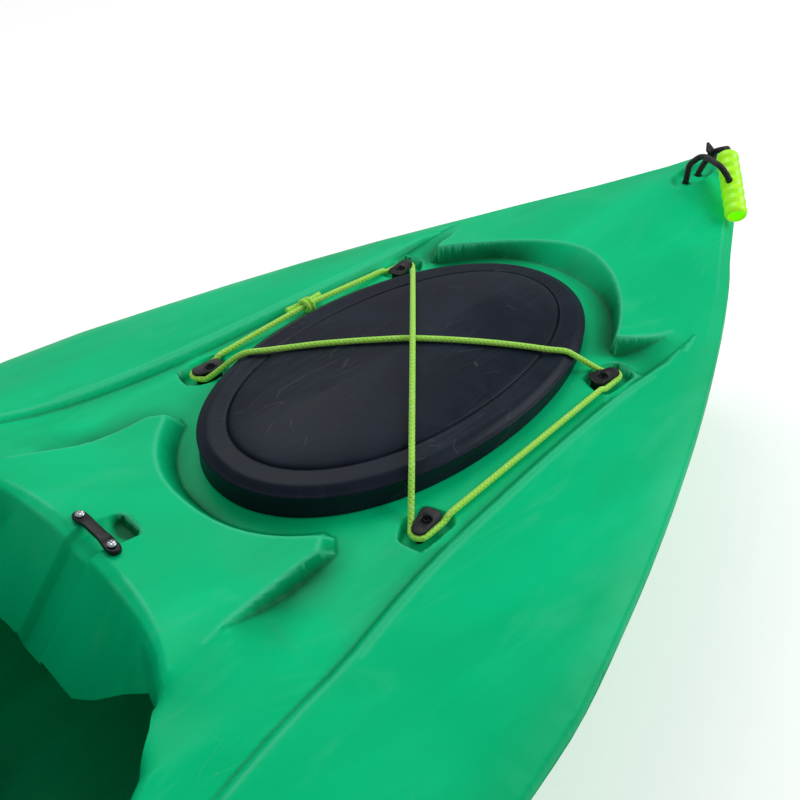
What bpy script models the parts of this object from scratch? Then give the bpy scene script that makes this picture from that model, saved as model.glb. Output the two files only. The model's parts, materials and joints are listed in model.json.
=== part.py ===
"""Sit-in recreational kayak, modelled as the pieces it comes apart into.

Metres, +Z up, +X to the bow, +Y to port. The origin is on the ground under the middle of the boat.
The deck is one moulding, drawn as feature lines in plan that each carry their own height. The hull is a
loft between a flat-floored middle section and a vee at the stems.
"""
import math

import bmesh
import bpy
from mathutils import Matrix, Vector
from mathutils.geometry import delaunay_2d_cdt

# Hull and deck
LENGTH = 2.95
BEAM = 0.775
DEPTH = 0.235
STERN_SHEER = 0.315
BOW_SHEER = 0.330
HULL_WALL = 0.005
DECK_WALL = 0.004
STEM_RUN = 0.42
STEM_KNUCKLE = 0.012
SECTION_BLEND = 0.85
GUNWALE_FLANGE = 0.014
GUNWALE_BEAD = 0.006
NOSE_LENGTH = 0.035
CAVITY_TO_TIP = 0.085
CAVITY_BAYS = 24
GAP = 0.0003
SEAM_GAP = 0.0009

# Stern hatch
HATCH_FROM_STERN = 0.61
LID_HEIGHT = 0.300
LID_HALF_LENGTH = 0.235
LID_HALF_WIDTH = 0.137
LID_POWER = 2.078
LID_EGG = 0.0335
RING_STEPS = 48
LID_PLATE = 0.0035
LID_BORDER = 0.0285
LID_GROOVE = 0.0020
LID_GROOVE_WIDTH = 0.0030
LID_SKIRT_WALL = 0.0028
LID_SKIRT_CLEARANCE = 0.0012
FLOOR_DROP = 0.0186
FLOOR_SLOPE = 0.028
COAMING_OUTER_INSET = 0.0062
COAMING_LAND = 0.0098
COAMING_TOP = -0.0075
COAMING_THROAT = 0.022
COAMING_GAP = 0.0009
COAMING_WALL = 0.0037
MOUTH_INSET = 0.026
GASKET_WIDTH = 0.006

# Cockpit
COCKPIT_FROM_HATCH = 0.364
COCKPIT_LENGTH = 1.08
COCKPIT_WIDTH = 0.524
COCKPIT_POWER = 3.0
COCKPIT_EGG = 0.08
RIM_ROUND = 0.009
RIM_TURN_DOWN = 0.035
BACK_ROUND = 0.009
BACK_WALL_RUN = 0.058
BACK_WALL_DROP = 0.040
TROUGH_HALF_WIDTH = 0.0145
TROUGH_DEPTH = 0.009
TROUGH_LENGTH = 0.040
TROUGH_BANK = 0.0028

# Deck fittings
CORD_RADIUS = 0.003
CORD_TURN = math.radians(22)
CORD_RUN = 0.036
CORD_REST = 0.0006
SHOULDER_INSET = 0.0085
LIP_REACH = 0.0012
LID_RUN_SHARES = (0.0, 0.06, 0.13, 0.22, 0.32, 0.42, 0.50, 0.58, 0.68, 0.78, 0.87, 0.94, 1.0)
LIFT_REACH = 0.40
NECK_RUN = 0.0090
POCKET_RUNS = (0.0220, 0.0255, 0.0290, 0.0325)
POCKET_CLIMB = (0.0215, 0.0325)
KNOT_AHEAD = -0.008
KNOT_RADIUS = 0.0027
KNOT_COIL = 0.0062
KNOT_LENGTH = 0.0175
KNOT_TAIL = 0.018
KNOT_TURNS = 2
PAD_STERN = (-0.138, 0.1445)
PAD_BOW = (0.1297, 0.1547)
PAD_TOE_OUT = math.radians(14)
PAD_LENGTH = 0.034
PAD_WIDTH = 0.023
PAD_END_WIDTH = 0.015
PAD_CENTRE = 0.0122
PAD_PROUD = 0.0045
PAD_PLATE = 0.0018
PAD_NECK_INSET = 0.0034
POCKET_DEPTH = 0.012
SCREW_RADIUS = 0.0021
SCREW_HEAD_RADIUS = 0.0042
SCREW_HEAD_HEIGHT = 0.0022
BRACKET_REACH = 0.0234
BRACKET_FROM_RIM = 0.0085
BRACKET_WIDTH = 0.012
BRACKET_THICKNESS = 0.005
BRACKET_REST = 0.0010
LEANING_HOLE = 0.0013

# Carrying handles
HANDLE_FROM_TIP = 0.094
DISH_LENGTH = 0.088
DISH_WIDTH = 0.034
DISH_DEPTH = 0.007
HANDLE_HOLE_RADIUS = 0.0050
HANDLE_HOLE_PITCH = 0.028
HANDLE_CORD_RADIUS = 0.0038
HANDLE_PIVOT_HEIGHT = 0.012
GRIP_LENGTH = 0.092
GRIP_RADIUS = 0.0135
GRIP_BORE_RADIUS = 0.0090
GRIP_RIB = 0.0012
GRIP_RIBS = 7
GRIP_SIDES = 16
GRIP_UPPER = (0.0172, 0.0323, 0.0360)
GRIP_LOWER = (-0.0394, 0.0880, -0.0030)
KEEPER_LENGTH = 0.026
KEEPER_WIDTH = 0.020
KEEPER_THICKNESS = 0.003

# Seat and backrest
SEAT_FROM_RIM = 0.146
SEAT_LENGTH = 0.40
SEAT_HALF_WIDTH = 0.175
SEAT_HEIGHT = 0.070
SEAT_BOLSTER = 0.028
SEAT_WALL = 0.0035
CUSHION_THICKNESS = 0.024
CUSHION_REST = 0.0005
BACKREST_HEIGHT = 0.205
BACKREST_WALL = 0.004
BACKREST_LEAN = math.radians(8)
BACKREST_PAD = 0.026
CUSHION_GAP = 0.0016
HINGE_HEIGHT = 0.135
HINGE_FROM_REAR = 0.028
PIN_RADIUS = 0.004
EAR_THICKNESS = 0.005
EAR_WIDTH = 0.026

# Footrests
RAIL_FROM_SEAT = 0.795
RAIL_LENGTH = 0.42
RAIL_HEIGHT = 0.125
RAIL_DEPTH = 0.014
RAIL_WIDTH = 0.030
RAIL_WALL = 0.0025
RAIL_CLEARANCE = 0.0010
PEDAL_WIDTH = 0.062
PEDAL_HEIGHT = 0.095
PEDAL_THICKNESS = 0.008
SLIDER_LENGTH = 0.050
RUNNING_CLEARANCE = 0.0006

# Flotation and drain
BULKHEAD_FROM_RIM = 0.062
BULKHEAD_THICKNESS = 0.040
BULKHEAD_LEVELS = (0.0165, 0.024, 0.035, 0.055, 0.080, 0.115, 0.160)
BULKHEAD_ROOF = (0.862, 0.739, 0.561, 0.274)
FOAM_CLEARANCE = 0.0009
UNDER_DECK_CLEARANCE = 0.0045
RIDGE_DROP = 0.004
PILLAR_FROM_BOW = 0.495
PILLAR_LENGTH = 0.30
PILLAR_THICKNESS = 0.070
DRAIN_FROM_STERN = 0.17
DRAIN_RADIUS = 0.011

STERN_X = -LENGTH / 2
BOW_X = LENGTH / 2
HATCH_X = STERN_X + HATCH_FROM_STERN
RIM_REAR_X = HATCH_X + COCKPIT_FROM_HATCH
COCKPIT_X = RIM_REAR_X + COCKPIT_LENGTH / 2
SEAT_REAR = RIM_REAR_X + SEAT_FROM_RIM
RAIL_START = SEAT_REAR + RAIL_FROM_SEAT
PILLAR_START = BOW_X - PILLAR_FROM_BOW
EAR_Y = 0.94 * SEAT_HALF_WIDTH
ARM_Y = EAR_Y - EAR_THICKNESS - RUNNING_CLEARANCE
PANEL_HALF_WIDTH = ARM_Y - EAR_THICKNESS / 2 - 0.0012
SEAT_BASE_Z = HULL_WALL + 0.030 * (DEPTH - GUNWALE_FLANGE) + 0.0004

# Half breadth, sheer height and deck centreline height along the boat. The first column is the share of
# the length from the stern tip, and the half breadth is a share of half the beam.
HALF_BREADTH = ((0.0, 0.072), (0.037, 0.192), (0.071, 0.348), (0.110, 0.498), (0.164, 0.674),
                (0.226, 0.839), (0.275, 0.937), (0.339, 0.990), (0.440, 1.0), (0.560, 0.975),
                (0.670, 0.885), (0.765, 0.735), (0.850, 0.530), (0.920, 0.315), (0.968, 0.155), (1.0,
                                        0.072))
SHEER = ((0.0, STERN_SHEER), (0.037, 0.301), (0.071, 0.288), (0.139, 0.270), (0.275, 0.243),
         (0.400, DEPTH), (0.600, 0.237), (0.760, 0.254), (0.880, 0.283), (0.960, 0.312), (1.0, BOW_SHEER))
CROWN = ((0.0, 0.331), (0.037, 0.3285), (0.071, 0.321), (0.106, 0.3105), (0.140, 0.3085), (0.207, 0.302),
         (0.288, 0.2945), (0.300, 0.2955), (0.329, 0.3135), (0.400, 0.326), (0.520, 0.346), (0.690, 0.354),
         (0.780, 0.346), (0.900, 0.338), (0.965, 0.342), (1.0, 0.347))
ROOF_SHARE = 0.22
CORNER_LIFT = 0.008

# Section of the hull from the keel to its rim, as shares of the half breadth and of the height.
MIDDLE_SECTION = ((0.0, 0.0), (0.24, 0.0), (0.30, 0.030), (0.38, 0.030), (0.44, 0.012), (0.56, 0.050),
                  (0.68, 0.130), (0.82, 0.330), (0.92, 0.620), (1.0, 1.0))
STEM_SECTION = ((0.0, 0.0), (0.10, 0.010), (0.17, 0.050), (0.25, 0.110), (0.34, 0.200), (0.45, 0.320),
                (0.58, 0.470), (0.73, 0.650), (0.88, 0.840), (1.0, 1.0))

# Lines of the recessed floor round the hatch, as distances forward of the hatch centre and out to port.
RIDGE_CREST = ((-0.268, 0.170), (-0.235, 0.1785), (-0.180, 0.1765), (-0.120, 0.1755), (-0.020, 0.1800),
               (0.080, 0.1870), (0.147, 0.1925), (0.215, 0.2030), (0.270, 0.2150), (0.370, 0.2360),
               (0.520, 0.2640), (0.700, 0.2850), (0.900, 0.2970))
RIDGE_STEP = 0.007
RIDGE_ROUND = 0.006
RIDGE_SOFTENING = 0.22
GROOVE_TIP = (-0.266, 0.158)
ARCH_CREST = (0.2975, 0.1694, 1.8)
ARCH_FOOT = (0.2665, 0.1570, 2.2)
ARCH_CORNER_X = -0.180
PLATEAU_CREST = (0.2730, 0.1610, 2.3)
PLATEAU_FOOT = (0.2572, 0.1490, 2.2)
PLATEAU_SIDE = ((0.2145, 0.1125), (0.2185, 0.1190), (0.2270, 0.1222), (0.2620, 0.1235), (0.3035, 0.1292),
                (0.3570, 0.1435))
PLATEAU_SIDE_FOOT = ((0.1985, 0.1120), (0.2035, 0.1222), (0.2145, 0.1262), (0.2548, 0.1296),
                     (0.2950, 0.1345), (0.3570, 0.1435))
# Height of the lid's top over its lip, by distance in from the edge: a sloping shoulder, a flat border and a
# domed panel.
LID_TOP = ((0.0, 0.0), (0.0089, 0.0059), (0.0285, 0.0078), (0.036, 0.0100), (0.050, 0.0132),
           (0.070, 0.0163),
           (0.095, 0.0195), (0.115, 0.0215), (0.137, 0.0230))
POCKET = ((0.034, -0.004), (0.029, 0.021), (-0.018, 0.0195), (-0.022, 0.008), (-0.013, -0.0175),
          (0.018, -0.0155))

GREEN = (0.0, 0.42, 0.16)
CHARCOAL = (0.03, 0.032, 0.037)
BLACK = (0.012, 0.012, 0.013)
LIME = (0.42, 0.95, 0.08)
NEON = (0.45, 0.95, 0.01)
STEEL = (0.62, 0.63, 0.65)
FOAM = (0.75, 0.76, 0.77)
GREY = (0.10, 0.105, 0.11)


def collection(name):
    found = bpy.data.collections.new(name)
    bpy.context.scene.collection.children.link(found)
    return found


def spline(knots, x):
    """Value at x of the smooth curve through (position, value) knots."""
    if x <= knots[0][0]:
        return knots[0][1]
    if x >= knots[-1][0]:
        return knots[-1][1]
    i = max(k for k in range(len(knots) - 1) if knots[k][0] <= x)
    (x0, y0), (x1, y1) = knots[i], knots[i + 1]
    rise = (y1 - y0) / (x1 - x0)
    before = rise if i == 0 else (y0 - knots[i - 1][1]) / (x0 - knots[i - 1][0])
    after = rise if i + 2 == len(knots) else (knots[i + 2][1] - y1) / (knots[i + 2][0] - x1)
    m0 = 0.0 if before * rise <= 0 else 2 * before * rise / (before + rise)
    m1 = 0.0 if after * rise <= 0 else 2 * after * rise / (after + rise)
    t = (x - x0) / (x1 - x0)
    return ((2 * t**3 - 3 * t**2 + 1) * y0 + (t**3 - 2 * t**2 + t) * (x1 - x0) * m0
            + (3 * t**2 - 2 * t**3) * y1 + (t**3 - t**2) * (x1 - x0) * m1)


def smooth_path(points, spacing, cyclic=False):
    """Evenly spaced points on the Catmull-Rom curve through the given 2-D or 3-D points."""
    knots = [Vector(p) for p in points]
    count = len(knots)
    dense = []
    for i in range(count if cyclic else count - 1):
        if cyclic:
            a, b, c, d = (knots[(i + k) % count] for k in (-1, 0, 1, 2))
        else:
            a, b, c, d = (knots[min(max(i + k, 0), count - 1)] for k in (-1, 0, 1, 2))
        for k in range(12):
            t = k / 12
            dense.append(0.5 * (2 * b + (c - a) * t + (2 * a - 5 * b + 4 * c - d) * t**2
                                + (3 * b - a - 3 * c + d) * t**3))
    dense.append(knots[0] if cyclic else knots[-1])
    lengths = [0.0]
    for p, q in zip(dense, dense[1:]):
        lengths.append(lengths[-1] + (q - p).length)
    steps = max(2, round(lengths[-1] / spacing))
    out = []
    for k in range(steps + 1):
        want = lengths[-1] * k / steps
        j = min(max(n for n in range(len(lengths)) if lengths[n] <= want + 1e-9), len(dense) - 2)
        span = lengths[j + 1] - lengths[j]
        out.append(dense[j].lerp(dense[j + 1], (want - lengths[j]) / span if span else 0.0))
    return out[:-1] if cyclic else out


def bend_path(points, turn, longest, cyclic=False):
    """Points of the smooth curve through the knots, kept where it has turned or run far enough."""
    fine = smooth_path(points, 0.0015, cyclic)
    count = len(fine)
    kept = [fine[0]]
    turned = run = 0.0
    for i in range(1, count if cyclic else count - 1):
        before, after = fine[i] - fine[i - 1], fine[(i + 1) % count] - fine[i]
        turned += before.angle(after)
        run += before.length
        left = (count - i) * after.length
        if (turned >= turn or run >= longest) and left > 0.004:
            kept.append(fine[i])
            turned = run = 0.0
    if not cyclic:
        kept.append(fine[-1])
    return kept


def ramp(x, low, high):
    """Smooth step from 0 at low to 1 at high."""
    t = min(max((x - low) / (high - low), 0.0), 1.0)
    return t * t * (3 - 2 * t)


def share(x):
    return (x - STERN_X) / LENGTH


def half_breadth(x):
    """Half the deck's width at x, with both ends rounded to a nose."""
    s = min(x - STERN_X, BOW_X - x)
    nose = math.sqrt(max(0.0, 1 - (1 - s / NOSE_LENGTH) ** 2)) if s < NOSE_LENGTH else 1.0
    return BEAM / 2 * spline(HALF_BREADTH, share(x)) * nose


def sheer(x):
    return spline(SHEER, share(x))


def crown(x, y):
    """Height of the uncut deck: a soft roof falling from the centreline to the gunwale."""
    middle = spline(CROWN, share(x))
    r = min(1.0, abs(y) / max(half_breadth(x), 1e-4))
    fall = (1 - ROOF_SHARE) * r**3.2 + ROOF_SHARE * r**1.4
    height = middle - (middle - sheer(x)) * fall
    ahead = x - HATCH_X
    behind_corner = 1 - ramp(ARCH_CORNER_X - ahead, 0.0, 0.11)
    near_corner = min(1.0, abs(y) / 0.127) ** 2 * (1 - ramp(abs(y), 0.127, 0.150))
    if ahead < ARCH_CORNER_X + 0.002:
        height += CORNER_LIFT * behind_corner * near_corner
    return height


def hatch_floor(x):
    """Height of the sloping floor that the hatch and its pad eyes stand on."""
    return LID_HEIGHT - FLOOR_DROP - FLOOR_SLOPE * (x - HATCH_X)


def keel(x):
    """Height of the keel line: flat for most of the length, rising to a rounded stem at each end."""
    s = min(x - STERN_X, BOW_X - x)
    if s >= STEM_RUN:
        return 0.0
    top = sheer(x) - GUNWALE_FLANGE - STEM_KNUCKLE
    return top * (1 - math.sqrt(max(0.0, 1 - (1 - s / STEM_RUN) ** 2)))


def hull_section(x):
    """Half section of the hull's outside at x, from the keel to the rim, as (y, z)."""
    s = min(x - STERN_X, BOW_X - x)
    blend = ramp(s, 0.0, SECTION_BLEND)
    half = half_breadth(x)
    low = keel(x)
    high = sheer(x) - GUNWALE_FLANGE - SEAM_GAP
    section = []
    for (my, mz), (sy, sz) in zip(MIDDLE_SECTION, STEM_SECTION):
        section.append((half * (sy + (my - sy) * blend), low + (high - low) * (sz + (mz - sz) * blend)))
    return section


def inset_section(x, wall):
    """The hull's section set in by a wall, square to its own outline."""
    outer = hull_section(x)
    inner = []
    for i, (y, z) in enumerate(outer):
        before = outer[max(i - 1, 0)]
        after = outer[min(i + 1, len(outer) - 1)]
        run, rise = after[0] - before[0], after[1] - before[1]
        size = math.hypot(run, rise)
        inner.append((max(0.0, y - wall * rise / size), z + wall * run / size))
    inner[0] = (0.0, outer[0][1] + wall)
    return inner


def cavity_section(x):
    """Half section of the space inside the hull at x, straight between the stations of its loft."""
    end = LENGTH / 2 - CAVITY_TO_TIP
    step = 2 * end / CAVITY_BAYS
    bay = min(max(int((x + end) / step), 0), CAVITY_BAYS - 1)
    start = -end + bay * step
    t = (x - start) / step
    fore, aft = inset_section(start + step, HULL_WALL), inset_section(start, HULL_WALL)
    return [(ya + (yb - ya) * t, za + (zb - za) * t) for (ya, za), (yb, zb) in zip(aft, fore)]


def inside_breadth(x, z, clearance=0.0):
    """Half width of the space inside the hull at a height, less a clearance."""
    points = cavity_section(x)
    for (y0, z0), (y1, z1) in zip(points, points[1:]):
        if z0 <= z <= z1 and z1 > z0:
            return y0 + (y1 - y0) * (z - z0) / (z1 - z0) - clearance
    return points[-1][0] - clearance


def material(name, colour, roughness, metallic=0.0):
    made = bpy.data.materials.new(name)
    made.use_nodes = True
    shader = made.node_tree.nodes["Principled BSDF"]
    shader.inputs["Base Color"].default_value = (*colour, 1.0)
    shader.inputs["Roughness"].default_value = roughness
    shader.inputs["Metallic"].default_value = metallic
    return made


class Workshop:
    """The two collections: finished pieces, and cutters that stay out of the model."""

    def __init__(self):
        self.parts = collection("sit_in_kayak")
        self.cutters = collection("cutters")

    def add(self, name, mesh, look, cutter=False):
        made = bpy.data.objects.new(name, mesh)
        (self.cutters if cutter else self.parts).objects.link(made)
        if cutter:
            made.hide_render = True
            made.display_type = "WIRE"
        else:
            made.data.materials.append(material(name, *look))
        return made

    def loft(self, name, rings, look, ring_closed=True, loop=False, capped=True, cutter=False):
        """Body through rings of equal count; loop joins the last ring to the first."""
        bm = bmesh.new()
        rows = [[bm.verts.new(p) for p in ring] for ring in rings]
        pairs = list(zip(rows, rows[1:]))
        if loop:
            pairs.append((rows[-1], rows[0]))
        count = len(rings[0])
        for lower, upper in pairs:
            for i in range(count if ring_closed else count - 1):
                j = (i + 1) % count
                bm.faces.new((lower[i], lower[j], upper[j], upper[i]))
        if capped and not loop:
            bm.faces.new(list(reversed(rows[0])))
            bm.faces.new(rows[-1])
        if capped or loop:
            bmesh.ops.recalc_face_normals(bm, faces=bm.faces)
        mesh = bpy.data.meshes.new(name)
        bm.to_mesh(mesh)
        bm.free()
        return self.add(name, mesh, look, cutter)

    def turned(self, name, profile, look, steps=24, cutter=False):
        """Solid of revolution about Z from (radius, height) points, both ends on the axis, top first."""
        mesh = bpy.data.meshes.new(name)
        mesh.from_pydata([(r, 0, z) for r, z in profile], [(i, i + 1) for i in range(len(profile) - 1)], [])
        made = self.add(name, mesh, look, cutter)
        screw = made.modifiers.new("turn", "SCREW")
        screw.axis = "Z"
        screw.steps = screw.render_steps = steps
        screw.use_merge_vertices = True
        screw.merge_threshold = 0.00001
        screw.use_smooth_shade = True
        return made

    def tube(self, name, points, radius, look, cyclic=False, resolution=2):
        """Round cord along points that are already close together."""
        curve = bpy.data.curves.new(name, "CURVE")
        curve.dimensions = "3D"
        curve.bevel_depth = radius
        curve.bevel_resolution = resolution
        curve.use_fill_caps = True
        line = curve.splines.new("POLY")
        line.points.add(len(points) - 1)
        for knot, p in zip(line.points, points):
            knot.co = (*p, 1.0)
        line.use_cyclic_u = cyclic
        made = bpy.data.objects.new(name, curve)
        self.parts.objects.link(made)
        made.data.materials.append(material(name, *look))
        return made

    def plate(self, name, outline, thickness, look, cutter=False):
        """Flat plate from a 2-D outline, centred on its own plane, as a mesh."""
        curve = bpy.data.curves.new(name, "CURVE")
        curve.dimensions = "2D"
        curve.fill_mode = "BOTH"
        curve.extrude = thickness / 2
        line = curve.splines.new("POLY")
        line.points.add(len(outline) - 1)
        for knot, (x, y) in zip(line.points, outline):
            knot.co = (x, y, 0.0, 1.0)
        line.use_cyclic_u = True
        guide = bpy.data.objects.new(name + "_outline", curve)
        self.cutters.objects.link(guide)
        bpy.context.view_layer.update()
        mesh = bpy.data.meshes.new_from_object(guide.evaluated_get(bpy.context.evaluated_depsgraph_get()))
        bpy.data.objects.remove(guide)
        bm = bmesh.new()
        bm.from_mesh(mesh)
        bmesh.ops.remove_doubles(bm, verts=bm.verts, dist=0.00001)
        bmesh.ops.recalc_face_normals(bm, faces=bm.faces)
        bm.to_mesh(mesh)
        bm.free()
        mesh.name = name
        mesh.materials.clear()
        return self.add(name, mesh, look, cutter)

    def hang(self, name, place, pieces):
        """Parents pieces that move together to an empty on their joint's axis, and leaves them in place."""
        axis = bpy.data.objects.new(name, None)
        axis.empty_display_size = 0.03
        self.cutters.objects.link(axis)
        axis.matrix_world = Matrix.Translation(place)
        for piece in pieces:
            piece.parent = axis
            piece.matrix_parent_inverse = axis.matrix_world.inverted()

    def cut(self, target, cutter, operation="DIFFERENCE"):
        modifier = target.modifiers.new(cutter.name, "BOOLEAN")
        modifier.operation = operation
        modifier.object = cutter
        modifier.solver = "EXACT"

    def rod_cutter(self, name, radius, length, matrix, steps=16):
        bm = bmesh.new()
        bmesh.ops.create_cone(bm, cap_ends=True, segments=steps, radius1=radius, radius2=radius,
                              depth=length)
        mesh = bpy.data.meshes.new(name)
        bm.to_mesh(mesh)
        bm.free()
        made = self.add(name, mesh, None, cutter=True)
        made.matrix_world = matrix
        return made


def rounded_outline(corners, radius, steps=3):
    """Closed outline with each corner rounded by an arc-like quadratic."""
    out = []
    count = len(corners)
    for i in range(count):
        corner = Vector(corners[i])
        back = (Vector(corners[i - 1]) - corner)
        ahead = (Vector(corners[(i + 1) % count]) - corner)
        reach = min(radius, back.length * 0.45, ahead.length * 0.45)
        start, end = corner + back.normalized() * reach, corner + ahead.normalized() * reach
        for k in range(steps + 1):
            t = k / steps
            out.append(start * (1 - t) ** 2 + corner * 2 * t * (1 - t) + end * t**2)
    return out


def egg(inset, angle):
    """Point of the lid's outline, set in by a distance, relative to the hatch centre."""
    a, b = LID_HALF_LENGTH - inset, LID_HALF_WIDTH - inset
    c, s = math.cos(angle), math.sin(angle)
    x = a * math.copysign(abs(c) ** (2 / LID_POWER), c)
    y = b * math.copysign(abs(s) ** (2 / LID_POWER), s)
    return x, y * (1 + LID_EGG * x / a)


def lid_top(inset):
    """Height of the lid's top over its lip at a distance in from the edge."""
    return spline(LID_TOP, inset)


def lid_inset(x, y):
    """Distance in from the lid's edge of a point given from the hatch centre; negative outside."""
    low, high = -0.15, LID_HALF_WIDTH - 0.001
    for _ in range(30):
        inset = (low + high) / 2
        a, b = LID_HALF_LENGTH - inset, LID_HALF_WIDTH - inset
        reach = (abs(x) / a) ** LID_POWER + (abs(y) / (b * (1 + LID_EGG * x / a))) ** LID_POWER
        low, high = (inset, high) if reach < 1 else (low, inset)
    return low


def egg_ring(inset, height, steps=RING_STEPS):
    """Ring of the lid's outline at a height that may depend on x."""
    ring = []
    for i in range(steps):
        x, y = egg(inset, 2 * math.pi * i / steps)
        z = height(HATCH_X + x) if callable(height) else LID_HEIGHT + height
        ring.append((HATCH_X + x, y, z))
    return ring


def rim_point(angle):
    """Point of the cockpit rim's crest, measured round from the stern end."""
    c, s = math.cos(angle), math.sin(angle)
    along = -math.copysign(abs(c) ** (2 / COCKPIT_POWER), c)
    across = abs(s) ** (2 / COCKPIT_POWER)
    return Vector((COCKPIT_X + COCKPIT_LENGTH / 2 * along,
                   COCKPIT_WIDTH / 2 * across * (1 - COCKPIT_EGG * along)))


class DeckPlan:
    """Feature lines of half the deck in plan, each point with its height, and the faces between them."""

    def __init__(self):
        self.index = {}
        self.points = []
        self.edges = []
        self.holes = []

    def put(self, x, y, z):
        key = (round(x, 5), round(y, 5))
        if key not in self.index:
            self.index[key] = len(self.points)
            self.points.append((x, y, z))
        return self.index[key]

    def line(self, points, closed=False):
        ids = [self.put(*p) for p in points]
        if closed:
            ids.append(ids[0])
        self.edges += [(a, b) for a, b in zip(ids, ids[1:]) if a != b]

    def opening(self, points, closed=True):
        self.line(points, closed)
        self.holes.append([(p[0], p[1]) for p in points])

    def fill(self, spacing, clearance, height):
        """Adds a staggered grid of points away from every line."""
        taken = [Vector(p[:2]) for p in self.points]
        rows = int(BEAM / 2 / spacing) + 1
        for row in range(rows):
            y = (row + 0.5) * spacing
            for column in range(int(LENGTH / spacing)):
                x = STERN_X + (column + 0.5 + 0.5 * (row % 2)) * spacing
                if y > half_breadth(x) - clearance:
                    continue
                here = Vector((x, y))
                if min((here - p).length for p in taken) > clearance:
                    self.put(x, y, height(x, y))

    def faces(self, outline):
        plan = [Vector(p[:2]) for p in self.points]
        found = delaunay_2d_cdt(plan, self.edges, [], 0, 1e-6)
        verts, faces, origins = found[0], found[2], found[3]
        heights = [self.points[o[0]][2] if o else None for o in origins]
        kept = []
        for face in faces:
            cx = sum(verts[i].x for i in face) / 3
            cy = sum(verts[i].y for i in face) / 3
            if inside(cx, cy, outline) and not any(inside(cx, cy, hole) for hole in self.holes):
                kept.append(face)
        return verts, heights, kept


def inside(x, y, loop):
    """True where the point is inside the closed loop."""
    result = False
    for (x0, y0), (x1, y1) in zip(loop, loop[1:] + loop[:1]):
        if (y0 > y) != (y1 > y) and x < x0 + (x1 - x0) * (y - y0) / (y1 - y0):
            result = not result
    return result


def gunwale_stations():
    """Positions along the boat, closer together at the rounded noses."""
    ends = [NOSE_LENGTH * (1 - math.cos(math.pi / 2 * k / 5)) for k in range(5)]
    ends += [NOSE_LENGTH + 0.022 * k for k in range(3)]
    inner = ends[-1]
    count = 32
    middle = [STERN_X + inner + (LENGTH - 2 * inner) * k / count for k in range(1, count)]
    return [STERN_X + s for s in ends] + middle + [BOW_X - s for s in reversed(ends)]


def recess_depth(x):
    """How far the ridge stands over the floor beside it; it fades out fore and aft."""
    ahead = x - HATCH_X
    return 0.0092 * ramp(ahead, -0.262, -0.17) * (1 - 0.45 * ramp(ahead, 0.15, 0.42)) * (1 - ramp(ahead,
                            0.5, 0.88))


def hatch_line(points, spacing):
    return [(HATCH_X + p.x, p.y) for p in smooth_path(points, spacing)]


def superellipse_arc(shape, side, until, spacing):
    """Evenly spaced points of a concentric arc from the centreline to where its x reaches until."""
    a, b, power = shape
    end = (1 - (abs(until) / a) ** power) ** (1 / power)
    knots = []
    for k in range(17):
        y_share = end * k / 16
        knots.append((HATCH_X + side * a * (1 - y_share**power) ** (1 / power), b * y_share))
    return [(p.x, p.y) for p in smooth_path(knots, spacing)]


def screw_hole(clearance):
    """Eight-sided hole that clears a screw's shank."""
    reach = (SCREW_RADIUS + clearance) / math.cos(math.pi / 8)
    return [(reach * math.cos(math.pi / 4 * k), reach * math.sin(math.pi / 4 * k)) for k in range(8)]


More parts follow.
